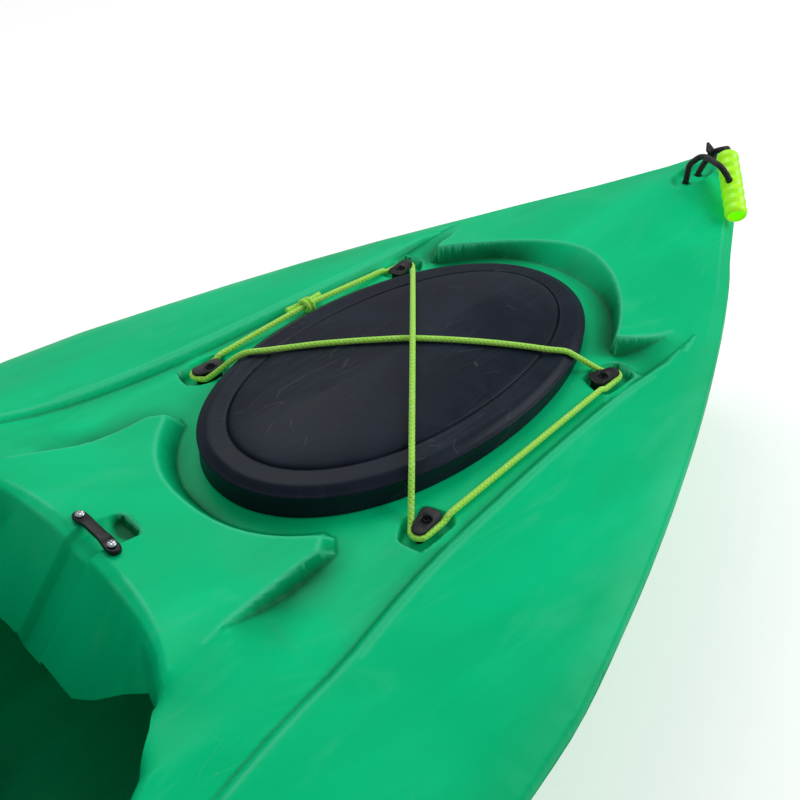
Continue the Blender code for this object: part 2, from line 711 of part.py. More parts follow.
def deck_lines(plan):
    """Puts every crest, foot, pocket and opening of the port half on the plan."""
    # Floor of the hatch recess, with the arch round its stern end
    crest = superellipse_arc(ARCH_CREST, -1, ARCH_CORNER_X, 0.018)
    foot = superellipse_arc(ARCH_FOOT, -1, ARCH_CORNER_X, 0.018)
    tip = (HATCH_X + GROOVE_TIP[0], GROOVE_TIP[1])
    corner, corner_foot = crest[-1], foot[-1]
    groove_top = hatch_line([(corner[0] - HATCH_X, corner[1]), (-0.200, 0.1375), (-0.2330, 0.1485),
                            GROOVE_TIP], 0.02)
    groove_foot = hatch_line([(corner_foot[0] - HATCH_X, corner_foot[1]), (-0.1765, 0.1325),
                            (-0.200, 0.1430),
                              (-0.2330, 0.1525), GROOVE_TIP], 0.0105)
    plan.line([(x, y, crown(x, y)) for x, y in crest])
    plan.line([(x, y, crown(x, y)) for x, y in groove_top])
    plan.line([(x, y, hatch_floor(x)) for x, y in foot])

    def groove_height(x, y):
        fade = ramp(x - HATCH_X, GROOVE_TIP[0], ARCH_CORNER_X)
        return crown(x, y) + (hatch_floor(x) - crown(x, y)) * fade

    plan.line([(x, y, groove_height(x, y)) for x, y in groove_foot[:-1]] + [(*tip, crown(*tip))])

    # Ridge between the recess and the outer deck
    ridge = hatch_line(RIDGE_CREST, 0.032)
    plan.line([(x, y, crown(x, y) - RIDGE_SOFTENING * recess_depth(x)) for x, y in ridge])
    plan.line([(x, y + RIDGE_ROUND, crown(x, y + RIDGE_ROUND)) for x, y in ridge[1:-1]])
    plan.line([(x, y - RIDGE_STEP, crown(x, y) - recess_depth(x)) for x, y in ridge[1:-1]])

    # Plateau between the hatch and the cockpit
    top = superellipse_arc(PLATEAU_CREST, 1, 0.2200, 0.017)
    bottom = superellipse_arc(PLATEAU_FOOT, 1, 0.2010, 0.017)
    side = hatch_line(PLATEAU_SIDE, 0.018)
    side_foot = hatch_line(PLATEAU_SIDE_FOOT, 0.018)
    plan.line([(x, y, crown(x, y)) for x, y in top + side])

    def side_height(x, y):
        fade = 1 - ramp(x - HATCH_X, 0.245, 0.350)
        return crown(x, y) + (hatch_floor(x) - crown(x, y)) * fade

    plan.line([(x, y, hatch_floor(x)) for x, y in bottom] +
              [(x, y, side_height(x, y)) for x, y in side_foot[:-1]] + [(*side[-1], crown(*side[-1]))])

    # Pockets of the pad eyes, with the screw hole in each floor
    for (px, py), way in ((PAD_STERN, -1), (PAD_BOW, 1)):
        corners = [(HATCH_X + px + way * u, py + v) for u, v in POCKET]
        rim = rounded_outline(corners, 0.006, 2)
        centre = Vector((HATCH_X + px + way * 0.005, py + 0.003))
        low = [centre + (p - centre) * (1 - 0.0022 / (p - centre).length) for p in rim]
        plan.line([(p.x, p.y, hatch_floor(p.x)) for p in rim], closed=True)
        plan.line([(p.x, p.y, hatch_floor(p.x) - POCKET_DEPTH) for p in low], closed=True)
        plan.opening([(HATCH_X + px + x, py + y, hatch_floor(HATCH_X + px) - POCKET_DEPTH) for x,
                     y in screw_hole(GAP)])

    # Mouth of the hatch
    steps = RING_STEPS // 2
    mouth = [egg(MOUTH_INSET, math.pi * k / steps) for k in range(steps + 1)]
    plan.opening([(HATCH_X + x, max(y, 0.0) if 0 < k < steps else 0.0, hatch_floor(HATCH_X + x))
                  for k, (x, y) in enumerate(mouth)], closed=False)


def cockpit_lines(plan):
    """The rim, rounded and turned down all round, with the long back wall and the strap trough."""
    across = [0.0, TROUGH_HALF_WIDTH, TROUGH_HALF_WIDTH + TROUGH_BANK, 0.034, 0.050, 0.068, 0.088, 0.110,
              0.132]
    rear = []
    for y in across:
        low, high = 0.0, math.pi / 2
        for _ in range(40):
            mid = (low + high) / 2
            if rim_point(mid).y < y:
                low = mid
            else:
                high = mid
        rear.append(low if y else 0.0)
    start = rear[-1]
    count = 26
    angles = rear + [start + (math.pi - start) * k / count for k in range(1, count + 1)]
    levels = ([], [], [], [])
    for angle in angles:
        here = rim_point(angle)
        if angle in (0.0, math.pi):
            here.y = 0.0
            inward = Vector((1.0, 0.0)) if angle == 0.0 else Vector((-1.0, 0.0))
        else:
            step = rim_point(min(angle + 0.01, math.pi)) - rim_point(angle - 0.01)
            inward = Vector((step.y, -step.x)).normalized()
        z = crown(here.x, here.y)
        back = (1 - ramp(here.y, 0.06, 0.15)) if angle < math.pi / 2 else 0.0
        sink = TROUGH_DEPTH if angle < 1 and here.y < TROUGH_HALF_WIDTH + TROUGH_BANK / 2 else 0.0
        steps = ((0.0, 0.0), (0.55, 0.22), (1.0, 1.0))
        for level, (inset, drop) in zip(levels, steps):
            place = here + inward * (RIM_ROUND + BACK_ROUND * back) * inset
            level.append([place.x, place.y, z - (RIM_ROUND + BACK_ROUND / 2 * back) * drop - sink])
        place = here + inward * (RIM_ROUND + 0.003) + Vector((BACK_WALL_RUN, 0.0)) * back
        levels[3].append([place.x, place.y, z - RIM_TURN_DOWN - BACK_WALL_DROP * back - sink])
    for k, y in enumerate(across):
        for level in levels:
            if k < 3:
                level[k][1] = y
    for level in levels:
        level[-1][1] = 0.0
    for level in levels[:3]:
        plan.line([tuple(p) for p in level])
    plan.opening([tuple(p) for p in levels[3]], closed=False)

    # Trough under the strap bracket, from the plateau down the back wall
    for k, (end, sink) in ((1, (0.003, TROUGH_DEPTH)), (2, (0.0, 0.0))):
        x = RIM_REAR_X - TROUGH_LENGTH + end
        y = across[k]
        head = [(x, 0.0, crown(x, 0.0) - sink), (x, y * 0.7, crown(x, y * 0.7) - sink),
                (x + 0.004, y, crown(x, y) - sink)]
        plan.line(head + [tuple(level[k]) for level in levels])
    bx = RIM_REAR_X - BRACKET_FROM_RIM
    plan.opening([(bx + x, BRACKET_REACH + y, crown(bx, BRACKET_REACH)) for x,
                 y in screw_hole(LEANING_HOLE)])


def handle_dish(plan, way):
    """Shallow dish with two cord holes at one end of the boat; way is -1 at the stern, 1 at the bow."""
    centre = way * (LENGTH / 2 - HANDLE_FROM_TIP)
    for scale, sink in ((1.0, 0.0), (0.72, DISH_DEPTH)):
        ring = []
        for k in range(10):
            angle = math.pi * k / 9
            x = centre + DISH_LENGTH / 2 * scale * math.cos(angle)
            y = 0.0 if k in (0, 9) else DISH_WIDTH / 2 * scale * math.sin(angle)
            ring.append((x, y, crown(x, y) - sink))
        plan.line(ring)
    for side in (-1, 1):
        middle = centre + side * HANDLE_HOLE_PITCH / 2
        ring = []
        for k in range(6):
            angle = math.pi * k / 5
            x = middle + HANDLE_HOLE_RADIUS * math.cos(angle)
            y = 0.0 if k in (0, 5) else HANDLE_HOLE_RADIUS * math.sin(angle)
            ring.append((x, y, crown(x, 0.0) - DISH_DEPTH))
        plan.opening(ring, closed=False)


def deck_shell(shop):
    """The deck moulding: half its outside surface, mirrored and given its wall."""
    plan = DeckPlan()
    stations = gunwale_stations()
    bead = ((0.016, None), (0.006, 0.0012), (0.0016, -0.0016), (0.0008, -GUNWALE_BEAD),
            (0.0, -GUNWALE_FLANGE))
    outline = []
    for inset, drop in bead:
        ring = []
        for x in stations:
            half = half_breadth(x)
            scale = max(0.0, 1 - inset / max(half, 0.03))
            px = x if half > 0.03 else math.copysign(LENGTH / 2 - inset - (LENGTH / 2 - abs(x)) * 0.96, x)
            y = half * scale
            z = crown(px, y) if drop is None else sheer(px) + drop
            if abs(abs(x) - LENGTH / 2) < 1e-9:
                y = 0.0
            ring.append((px, y, z))
        plan.line(ring)
        outline = [(p[0], p[1]) for p in ring]
    deck_lines(plan)
    cockpit_lines(plan)
    handle_dish(plan, -1)
    handle_dish(plan, 1)

    recess = floor_region()

    def height(x, y):
        if inside(x, y, recess):
            return hatch_floor(x)
        ahead = x - HATCH_X
        if 0.2 < ahead < 0.88 and y > rim_side(x) + 0.01 and y < spline(RIDGE_CREST, ahead) - RIDGE_STEP:
            out = (y - rim_side(x)) / (spline(RIDGE_CREST, ahead) - RIDGE_STEP - rim_side(x))
            return crown(x, y) - recess_depth(x) * out
        return crown(x, y)

    plan.fill(0.060, 0.024, height)
    verts, heights, faces = plan.faces(outline)
    mesh = bpy.data.meshes.new("deck_shell")
    mesh.from_pydata([(v.x, v.y, z if z is not None else crown(v.x, v.y)) for v,
                     z in zip(verts, heights)], [], faces)
    bm = bmesh.new()
    bm.from_mesh(mesh)
    loose = [v for v in bm.verts if not v.link_faces]
    bmesh.ops.delete(bm, geom=loose, context="VERTS")
    bm.to_mesh(mesh)
    bm.free()
    deck = shop.add("deck_shell", mesh, (GREEN, 0.38))
    mirror = deck.modifiers.new("mirror", "MIRROR")
    mirror.use_axis = (False, True, False)
    mirror.merge_threshold = 0.00001
    wall = deck.modifiers.new("wall", "SOLIDIFY")
    wall.thickness = DECK_WALL
    wall.offset = -1.0
    wall.use_even_offset = True
    wall.thickness_clamp = 1.0
    return deck


def rim_side(x):
    """Half width of the cockpit rim at x, or nothing fore and aft of it."""
    u = (x - COCKPIT_X) / (COCKPIT_LENGTH / 2)
    if abs(u) >= 1:
        return 0.0
    return COCKPIT_WIDTH / 2 * (1 - abs(u) ** COCKPIT_POWER) ** (1 / COCKPIT_POWER) * (1 - COCKPIT_EGG * u)


def floor_region():
    """Outline of the flat floor round the hatch, for the points between the lines."""
    foot = superellipse_arc(ARCH_FOOT, -1, ARCH_CORNER_X, 0.018)
    bottom = superellipse_arc(PLATEAU_FOOT, 1, 0.2010, 0.017)
    side = hatch_line(PLATEAU_SIDE_FOOT, 0.018)
    ridge = [(x, y - RIDGE_STEP) for x, y in hatch_line(RIDGE_CREST, 0.032) if -0.2 < x - HATCH_X < 0.30]
    return foot + ridge + [p for p in reversed(side) if p[0] - HATCH_X < 0.30] + list(reversed(bottom))


def hull_shell(shop):
    """Outer loft less the cavity, so the wall and the solid stems come from one cut."""
    stations = gunwale_stations()
    rings = []
    for x in stations:
        section = hull_section(x)
        ring = [(x, y, z) for y, z in section] + [(x, -y, z) for y, z in reversed(section[1:])]
        rings.append(ring)
    rings[0] = [(rings[0][0][0], y * 0.2, z) for _, y, z in rings[1]]
    rings[-1] = [(rings[-1][0][0], y * 0.2, z) for _, y, z in rings[-2]]
    hull = shop.loft("hull_shell", rings, (GREEN, 0.38))
    end = LENGTH / 2 - CAVITY_TO_TIP
    cavity = []
    for k in range(CAVITY_BAYS + 1):
        x = -end + 2 * end * k / CAVITY_BAYS
        section = inset_section(x, HULL_WALL)
        top_y = section[-1][0]
        section = section + [(top_y, sheer(x) + 0.05)]
        cavity.append([(x, y, z) for y, z in section] + [(x, -y, z) for y, z in reversed(section[1:])])
    shop.cut(hull, shop.loft("hull_cavity", cavity, None, cutter=True))
    return hull


def hatch(shop):
    """Lid with its skirt, the coaming ring that lines the mouth, and the gasket between them."""
    skirt = lambda x: hatch_floor(x) + LID_SKIRT_CLEARANCE
    top = [egg_ring(inset, lid_top(inset)) for inset in (0.118, 0.095, 0.070, 0.050, 0.036)]
    far, near = LID_BORDER + LID_GROOVE_WIDTH, LID_BORDER
    groove = [egg_ring(far, lid_top(far)), egg_ring(far - 0.0008, lid_top(near) - LID_GROOVE),
              egg_ring(near + 0.0008, lid_top(near) - LID_GROOVE), egg_ring(near, lid_top(near))]
    edge = [egg_ring(0.0105, 0.0062), egg_ring(0.0080, 0.0053), egg_ring(0.0012, 0.0007),
            egg_ring(0.0, -0.0010)]
    wall = LID_SKIRT_WALL
    under = [egg_ring(0.0, skirt), egg_ring(wall, skirt), egg_ring(wall, -LID_PLATE - 0.0006),
             egg_ring(wall + 0.0008, -LID_PLATE), egg_ring(0.020, -LID_PLATE)]
    under += [egg_ring(inset, lid_top(inset) - LID_PLATE) for inset in (0.038, 0.070, 0.118)]
    rings = top + groove + edge + under
    lid = shop.loft("hatch_lid", rings, (CHARCOAL, 0.45))

    seat = lambda x: hatch_floor(x) + COAMING_GAP
    throat = lambda x: hatch_floor(x) - COAMING_THROAT
    throat_wall = MOUTH_INSET + 2 * GAP
    inner = throat_wall + COAMING_WALL
    land = COAMING_OUTER_INSET + COAMING_LAND
    coaming = [egg_ring(COAMING_OUTER_INSET, seat), egg_ring(COAMING_OUTER_INSET, COAMING_TOP),
               egg_ring(land, COAMING_TOP), egg_ring(land + 0.002, COAMING_TOP - 0.0016),
               egg_ring(inner, COAMING_TOP - 0.0016), egg_ring(inner, throat),
               egg_ring(throat_wall, throat), egg_ring(throat_wall, seat)]
    shop.loft("hatch_coaming", coaming, (BLACK, 0.5), loop=True)

    outer = COAMING_OUTER_INSET + 0.0012
    low, high = COAMING_TOP + GAP, -LID_PLATE - GAP
    gasket = [egg_ring(outer, low), egg_ring(outer, high), egg_ring(outer + GASKET_WIDTH, high),
              egg_ring(outer + GASKET_WIDTH, low)]
    seal = shop.loft("hatch_gasket", gasket, (BLACK, 0.8), loop=True)
    shop.hang("hatch_cover_axis", (HATCH_X, 0.0, LID_HEIGHT), (lid, seal))


def pad_frame(place, way, side):
    """World matrix of a pad eye: its hole on Z, its cord end along X."""
    x = HATCH_X + place[0]
    z = hatch_floor(x) - POCKET_DEPTH + GAP
    turn = PAD_TOE_OUT * way * side + (math.pi if way < 0 else 0.0)
    slope = Matrix.Rotation(math.atan(FLOOR_SLOPE), 4, "Y")
    return Matrix.Translation((x, place[1] * side, z)) @ slope @ Matrix.Rotation(turn, 4, "Z")


def pad_outline(inset):
    """Taper of the pad eye: a round cord end and a wider square end with rounded corners."""
    half, end = PAD_WIDTH / 2 - inset, PAD_END_WIDTH / 2 - inset
    tail = -PAD_LENGTH * 0.42 + inset
    nose = [Vector((PAD_CENTRE + end * math.cos(a),
            end * math.sin(a))) for a in (math.radians(15 * k) for k in range(-6, 7))]
    corners = rounded_outline([nose[-1], (tail, half), (tail, -half), nose[0]], 0.007, 3)
    return nose + corners[4:12]


def pad_eyes(shop):
    """Four cord fittings, each a neck for the cord under a wider cap, with its sunk screw."""
    height = POCKET_DEPTH - GAP + PAD_PROUD
    cap = height - PAD_PLATE
    levels = ((PAD_NECK_INSET, 0.0), (PAD_NECK_INSET, cap), (0.0, cap), (0.0, height - 0.0007),
              (0.0008, height))
    for place, way, end in ((PAD_STERN, -1, "stern"), (PAD_BOW, 1, "bow")):
        for side, flank in ((1, "port"), (-1, "starboard")):
            frame = pad_frame(place, way, side)
            rings = [[(p.x, p.y, z) for p in pad_outline(inset)] for inset, z in levels]
            pad = shop.loft(f"pad_eye_{end}_{flank}", rings, (BLACK, 0.4))
            pad.matrix_world = frame
            bore = shop.rod_cutter(f"pad_bore_{end}_{flank}", SCREW_RADIUS + GAP, 0.1, frame, 12)
            sink = Matrix.Translation((0, 0, height - 0.003 + 0.01))
            well = shop.rod_cutter(f"pad_well_{end}_{flank}", SCREW_HEAD_RADIUS + GAP, 0.02, frame @ sink,
                                   16)
            shop.cut(pad, bore)
            shop.cut(pad, well)
            head = height - 0.003 + GAP
            screw(shop, f"pad_screw_{end}_{flank}", frame @ Matrix.Translation((0, 0, head)),
                  head + 0.010, BLACK)


def screw(shop, name, matrix, length, colour=STEEL):
    """Pan-head screw with its underside at the matrix's origin and its shank along -Z."""
    profile = ((0.0, SCREW_HEAD_HEIGHT), (SCREW_HEAD_RADIUS * 0.6, SCREW_HEAD_HEIGHT * 0.9),
               (SCREW_HEAD_RADIUS, SCREW_HEAD_HEIGHT * 0.35), (SCREW_HEAD_RADIUS, 0.0), (SCREW_RADIUS, 0.0),
               (SCREW_RADIUS, -length + 0.002), (0.0, -length))
    made = shop.turned(name, profile, (colour, 0.3, 1.0 if colour is STEEL else 0.0), 12)
    made.matrix_world = matrix
    return made


def pad_centre(way, side):
    """Middle of a pad eye's round end in plan."""
    frame = pad_frame(PAD_BOW if way > 0 else PAD_STERN, way, side)
    centre = frame @ Vector((PAD_CENTRE, 0, 0))
    return Vector((centre.x, centre.y))


def tangent(start, start_sense, end, end_sense, radius):
    """Direction of the line that leaves one circle and joins another; sense is 1 for a left turn."""
    between = end - start
    angle = math.atan2(between.y, between.x)
    return angle - math.asin((end_sense - start_sense) * radius / between.length)


def lid_height(x, y):
    """Lowest centre height of a taut cord over the lid at a point given from the hatch centre."""
    inset = lid_inset(x, y)
    return LID_HEIGHT + CORD_RADIUS + CORD_REST + spline(LID_TOP[:2] + LID_TOP[3:], max(inset, 0.0))


def lid_run(start, end, lift):
    """Points of a strand over the lid, from lip to lip, with a lift where it crosses its twin."""
    middle = Vector((HATCH_X, 0.0))

    def crossing(inset):
        found = [k / 400 for k in range(401) if lid_inset(*(start.lerp(end, k / 400) - middle)) > inset]
        return found[0], found[-1]

    lip, shoulder = crossing(-LIP_REACH), crossing(SHOULDER_INSET)
    rest = LID_HEIGHT + CORD_RADIUS + CORD_REST
    points = [(*start.lerp(end, lip[0]), rest)]
    for part in LID_RUN_SHARES:
        p = start.lerp(end, shoulder[0] + (shoulder[1] - shoulder[0]) * part)
        tent = max(0.0, 1 - (abs(part - 0.5) / LIFT_REACH) ** 1.6)
        points.append((*p, lid_height(p.x - HATCH_X, p.y) + lift * tent))
    return points + [(*start.lerp(end, lip[1]), rest)]


def arc_point(centre, sense, heading, radius):
    """Where a path with this heading touches the circle that it turns round."""
    return centre + Vector((math.sin(heading), -math.cos(heading))) * sense * radius


def bungee_route():
    """The closed cord: straight between the pad eyes of each side, and crosswise over the lid."""
    radius = PAD_END_WIDTH / 2 - PAD_NECK_INSET + CORD_RADIUS + CORD_REST
    neck_z = PAD_PROUD - PAD_PLATE - CORD_RADIUS - CORD_REST
    floor_z = CORD_RADIUS + CORD_REST
    stops = [(1, 1, -1), (-1, -1, 1), (1, -1, 1), (-1, 1, -1)]
    centres = [pad_centre(way, side) for way, side, _ in stops]
    senses = [sense for _, _, sense in stops]
    headings = [tangent(centres[k], senses[k], centres[(k + 1) % 4], senses[(k + 1) % 4],
                radius) for k in range(4)]
    route = []
    for k, sense in enumerate(senses):
        swing = (headings[k] - headings[k - 1]) * sense % (2 * math.pi)
        turn = [arc_point(centres[k], sense, headings[k - 1] + sense * swing * n / 10,
                radius) for n in range(11)]
        before = Vector((math.cos(headings[k - 1]), math.sin(headings[k - 1])))
        after = Vector((math.cos(headings[k]), math.sin(headings[k])))
        climb = [(run, neck_z + (floor_z - neck_z) * ramp(run, *POCKET_CLIMB)) for run in POCKET_RUNS]
        path = [(*p, hatch_floor(p.x) + neck_z) for p in turn]
        if k in (1, 3):
            entry = turn[0] - before * NECK_RUN
            path.insert(0, (*entry, hatch_floor(entry.x) + neck_z))
            leave = [(turn[-1] + after * run, z) for run, z in climb]
            route += path + [(*p, hatch_floor(p.x) + z) for p, z in leave]
        else:
            entry = [(turn[0] - before * run, z) for run, z in reversed(climb)]
            exit_point = turn[-1] + after * NECK_RUN
            route += [(*p, hatch_floor(p.x) + z) for p, z in entry] + path
            route.append((*exit_point, hatch_floor(exit_point.x) + neck_z))
            end = arc_point(centres[k + 1], senses[k + 1], headings[k], radius)
            route += lid_run(turn[-1], end, 2 * (CORD_RADIUS + CORD_REST) if k == 0 else 0.0)
        if k == 1:
            knot = knot_place(route[-1], arc_point(centres[2], senses[2], headings[1], radius))
            route += [(knot.x + along, knot.y, knot.z) for along in (-KNOT_LENGTH * 0.6, KNOT_LENGTH * 0.6)]
    return route, knot


def knot_place(aft, fore):
    """Middle of the knot on the starboard run, held up from the deck by its own turns."""
    x = HATCH_X + KNOT_AHEAD
    y = aft[1] + (fore[1] - aft[1]) * (x - aft[0]) / (fore[0] - aft[0])
    return Vector((x, y, hatch_floor(x) + KNOT_COIL + KNOT_RADIUS + CORD_REST))


def least_gap(points, radius, cyclic=False):
    """Least space between two runs of one round cord that aren't neighbours along it."""
    dense, run = [], [0.0]
    pairs = list(zip(points, points[1:])) + ([(points[-1], points[0])] if cyclic else [])
    for a, b in pairs:
        a, b = Vector(a), Vector(b)
        parts = max(1, math.ceil((b - a).length / (radius / 3)))
        for n in range(parts):
            dense.append(a.lerp(b, n / parts))
            run.append(run[-1] + (b - a).length / parts)
    least = math.inf
    for i, p in enumerate(dense):
        for j in range(i + 1, len(dense)):
            apart = run[j] - run[i]
            if cyclic:
                apart = min(apart, run[-1] - apart)
            if apart > 4 * radius:
                least = min(least, (p - dense[j]).length)
    return least - 2 * radius


def bungee(shop):
    """The crossed elastic cord, and the tight double turn with two tails that ties its ends."""
    route, knot = bungee_route()
    shop.tube("deck_bungee", route, CORD_RADIUS, (LIME, 0.6), cyclic=True)
    half = KNOT_LENGTH / 2 - KNOT_RADIUS
    path = []
    for k in range(4):
        path.append(knot + Vector((-half - KNOT_TAIL * (1 - k / 4), -KNOT_COIL - 0.001 * (1 - k / 4), 0.0)))
    for k in range(KNOT_TURNS * 10 + 1):
        angle = math.pi + 2 * math.pi * k / 10
        share_of_coil = k / (KNOT_TURNS * 10)
        path.append(knot + Vector((half * (2 * share_of_coil - 1), KNOT_COIL * math.cos(angle),
                    KNOT_COIL * math.sin(angle))))
    for k in range(1, 5):
        path.append(knot + Vector((half + KNOT_TAIL * k / 4, -KNOT_COIL - 0.001 * k / 4, 0.0)))
    shop.tube("bungee_knot", path, KNOT_RADIUS, (LIME, 0.6))
    for name, points, radius, cyclic in (("deck_bungee", route, CORD_RADIUS, True),
                            ("bungee_knot", path, KNOT_RADIUS, False)):
        print(f"{name}: least gap to itself {1000 * least_gap(points, radius, cyclic):.2f} mm")


def strap_bracket(shop):
    """Bar across the trough that the backrest's strap hooks to, with its two screws."""
    x = RIM_REAR_X - BRACKET_FROM_RIM
    slope = math.atan((crown(x + 0.004, 0) - crown(x - 0.004, 0)) / 0.008)
    lean = math.atan((crown(x, 0.030) - crown(x, 0.016)) / 0.014)
    base = crown(x, BRACKET_REACH)
    half = BRACKET_WIDTH / 2
    sections = []
    for y in (-0.0315, -0.0300, -0.0265, -0.0200, -0.0165, -0.0120, 0.0, 0.0120, 0.0165, 0.0200, 0.0265,
              0.0300, 0.0315):
        out = max(0.0, (abs(y) - 0.0265) / 0.0050)
        width = half * math.sqrt(max(0.06, 1 - out * out))
        arch = 0.0016 * (1 - ramp(abs(y), 0.0120, 0.0200))
        low = base + lean * (max(abs(y), 0.017) - BRACKET_REACH) + BRACKET_REST + arch
        high = low + BRACKET_THICKNESS - (0.0006 if abs(y) > 0.031 else 0.0)
        ring = [(-width, low), (-width, high - 0.0012), (-width + 0.0014, high), (width - 0.0014, high),
                (width, high - 0.0012), (width, low)]
        sections.append([(x + u, y, z + u * math.tan(slope)) for u, z in ring])
    bar = shop.loft("strap_bracket", sections, (BLACK, 0.4))
    for side, flank in ((1, "port"), (-1, "starboard")):
        place = Matrix.Translation((x, side * BRACKET_REACH, base + BRACKET_THICKNESS + 0.0020))
        bore = shop.rod_cutter(f"bracket_bore_{flank}", SCREW_RADIUS + GAP, 0.04, place, 12)
        shop.cut(bar, bore)
        screw(shop, f"bracket_screw_{flank}", place, 0.020)


def handle_points(way):
    """Fixed points of one handle: the two deck holes and the grip's ends, hanging over the port side."""
    centre = way * (LENGTH / 2 - HANDLE_FROM_TIP)
    floor = crown(centre, 0.0) - DISH_DEPTH
    outer = Vector((centre + way * HANDLE_HOLE_PITCH / 2, 0.0, floor))
    inner = Vector((centre - way * HANDLE_HOLE_PITCH / 2, 0.0, floor))
    upper = Vector((centre + way * GRIP_UPPER[0], GRIP_UPPER[1], floor + GRIP_UPPER[2]))
    lower = Vector((centre + way * GRIP_LOWER[0], GRIP_LOWER[1], floor + GRIP_LOWER[2]))
    return outer, inner, upper, lower


def frame_on(middle, along, facing):
    """World matrix with X along one direction and Z as near as it can be to another."""
    x = along.normalized()
    y = facing.cross(x).normalized()
    z = x.cross(y)
    return Matrix(((x.x, y.x, z.x, middle.x), (x.y, y.y, z.y, middle.y), (x.z, y.z, z.z, middle.z),
                  (0, 0, 0, 1)))


def grip_radius(t):
    """Radius of the ribbed grip at a share of its length, with a plain band round its middle."""
    if t in (0.0, 1.0):
        return GRIP_RADIUS - GRIP_RIB
    rib = 0.5 - 0.5 * math.cos(2 * math.pi * t * GRIP_RIBS)
    return GRIP_RADIUS - GRIP_RIB * (1 - rib)


def handle(shop, way, end):
    """Carrying handle: a hollow ribbed grip threaded crosswise on a cord that passes through the deck's dish."""
    outer, inner, upper, lower = handle_points(way)
    middle = (upper + lower) / 2
    entry_way = Vector((-way * 0.647, -0.119, 0.753))
    frame = frame_on(middle, lower - upper, entry_way)
    outside = [(t / (3 * GRIP_RIBS), grip_radius(t / (3 * GRIP_RIBS))) for t in range(3 * GRIP_RIBS + 1)]
    profile = [(0.0, GRIP_BORE_RADIUS)] + outside + [(1.0, GRIP_BORE_RADIUS), (0.5, GRIP_BORE_RADIUS)]
    rings = []
    for t, radius in profile:
        rings.append([((t - 0.5) * GRIP_LENGTH, radius * math.cos(2 * math.pi * k / GRIP_SIDES),
                       radius * math.sin(2 * math.pi * k / GRIP_SIDES)) for k in range(GRIP_SIDES)])
    grip = shop.loft(f"{end}_grip", rings, (NEON, 0.5), loop=True)
    grip.matrix_world = frame
    side_hole = frame @ Matrix.Translation((0, 0, GRIP_RADIUS))
    shop.cut(grip, shop.rod_cutter(f"{end}_grip_hole", HANDLE_CORD_RADIUS + 4 * GAP, GRIP_RADIUS,
             side_hole, 12))

    up = Vector((0, 0, 1))
    below = (outer + inner) / 2 - up * (DECK_WALL + 0.016)
    keeper_at = outer + Vector((way * 0.018, 0.0045, 0.026))
    hole = GRIP_RADIUS
    knots = [below, inner - up * 0.012, inner + up * 0.006, inner + up * 0.022 + Vector((way * 0.004,
             -0.001, 0)),
             inner + up * 0.034 + Vector((way * 0.012, 0.010, 0)), frame @ Vector((-0.016, -0.006,
                                     hole + 0.012)),
             frame @ Vector((-0.003, 0, hole + 0.004)), frame @ Vector((0, 0, hole - 0.003)),
             frame @ Vector((-0.003, 0, 0.0025)), frame @ Vector((-0.012, 0, 0)), frame @ Vector((-0.030,
                                     0, 0)),
             frame @ Vector((-GRIP_LENGTH / 2 - 0.002, 0, 0)), frame @ Vector((-GRIP_LENGTH / 2 - 0.012,
                                     0, -0.003)),
             keeper_at, outer + up * 0.012 + Vector((way * 0.006, 0.001,
                                     0)), outer + up * 0.002, outer - up * 0.012]
    cord = shop.tube(f"{end}_handle_cord", bend_path(knots, CORD_TURN, CORD_RUN, cyclic=True),
                     HANDLE_CORD_RADIUS, (BLACK, 0.7), True)

    through = frame @ Vector((-GRIP_LENGTH / 2 - 0.012, 0, -0.003)) - (outer + up * 0.012)
    half_long, half_wide = KEEPER_LENGTH / 2, KEEPER_WIDTH / 2
    corners = [(-half_long, -half_wide * 0.8), (half_long, -half_wide * 0.8),
               (half_long, half_wide * 1.2), (-half_long, half_wide * 1.2)]
    plate = shop.plate(f"{end}_cord_keeper", [(p.x, p.y) for p in rounded_outline(corners, 0.003, 2)],
                       KEEPER_THICKNESS, (BLACK, 0.4))
    facing = frame_on(keeper_at, Vector((0, 0, 1)).cross(through), through)
    plate.matrix_world = facing
    shop.cut(plate, shop.rod_cutter(f"{end}_keeper_hole", HANDLE_CORD_RADIUS + 4 * GAP, 0.04, facing, 12))
    pivot = (outer + inner) / 2 + up * HANDLE_PIVOT_HEIGHT
    shop.hang(f"{end}_handle_axis", pivot, (grip, cord, plate))


def seat_section(x):
    """Half section of the seat pan's top surface at x, from the middle out and down to its foot."""
    t = (x - SEAT_REAR) / SEAT_LENGTH
    dish = SEAT_HEIGHT - 0.016 * math.sin(math.pi * min(1.0, t * 0.9)) + 0.020 * ramp(t, 0.72, 1.0)
    side = SEAT_HEIGHT + SEAT_BOLSTER * (1 - 0.5 * ramp(t, 0.5, 1.0))
    w = SEAT_HALF_WIDTH
    return [(0.0, dish), (0.30 * w, dish), (0.60 * w, dish + 0.003), (0.78 * w, dish + 0.012),
            (0.88 * w, side - 0.004), (0.94 * w, side), (0.985 * w, side - 0.004), (w, side - 0.016),
            (0.96 * w, 0.040), (0.88 * w, 0.024), (0.82 * w, SEAT_BASE_Z)]


CUSHION_STATIONS = (0.0, 0.03, 0.10, 0.22, 0.32, 0.36, 0.40, 0.52, 0.62, 0.66, 0.70, 0.82, 0.92, 0.97, 1.0)
CUSHION_START = 0.10
CUSHION_SPAN = 0.84
PAN_STATIONS = (0.02, 0.06) + tuple(CUSHION_START + CUSHION_SPAN * CUSHION_STATIONS[k] for k in (2, 3, 5,
                        7, 9, 11, 12)) + (0.97,)


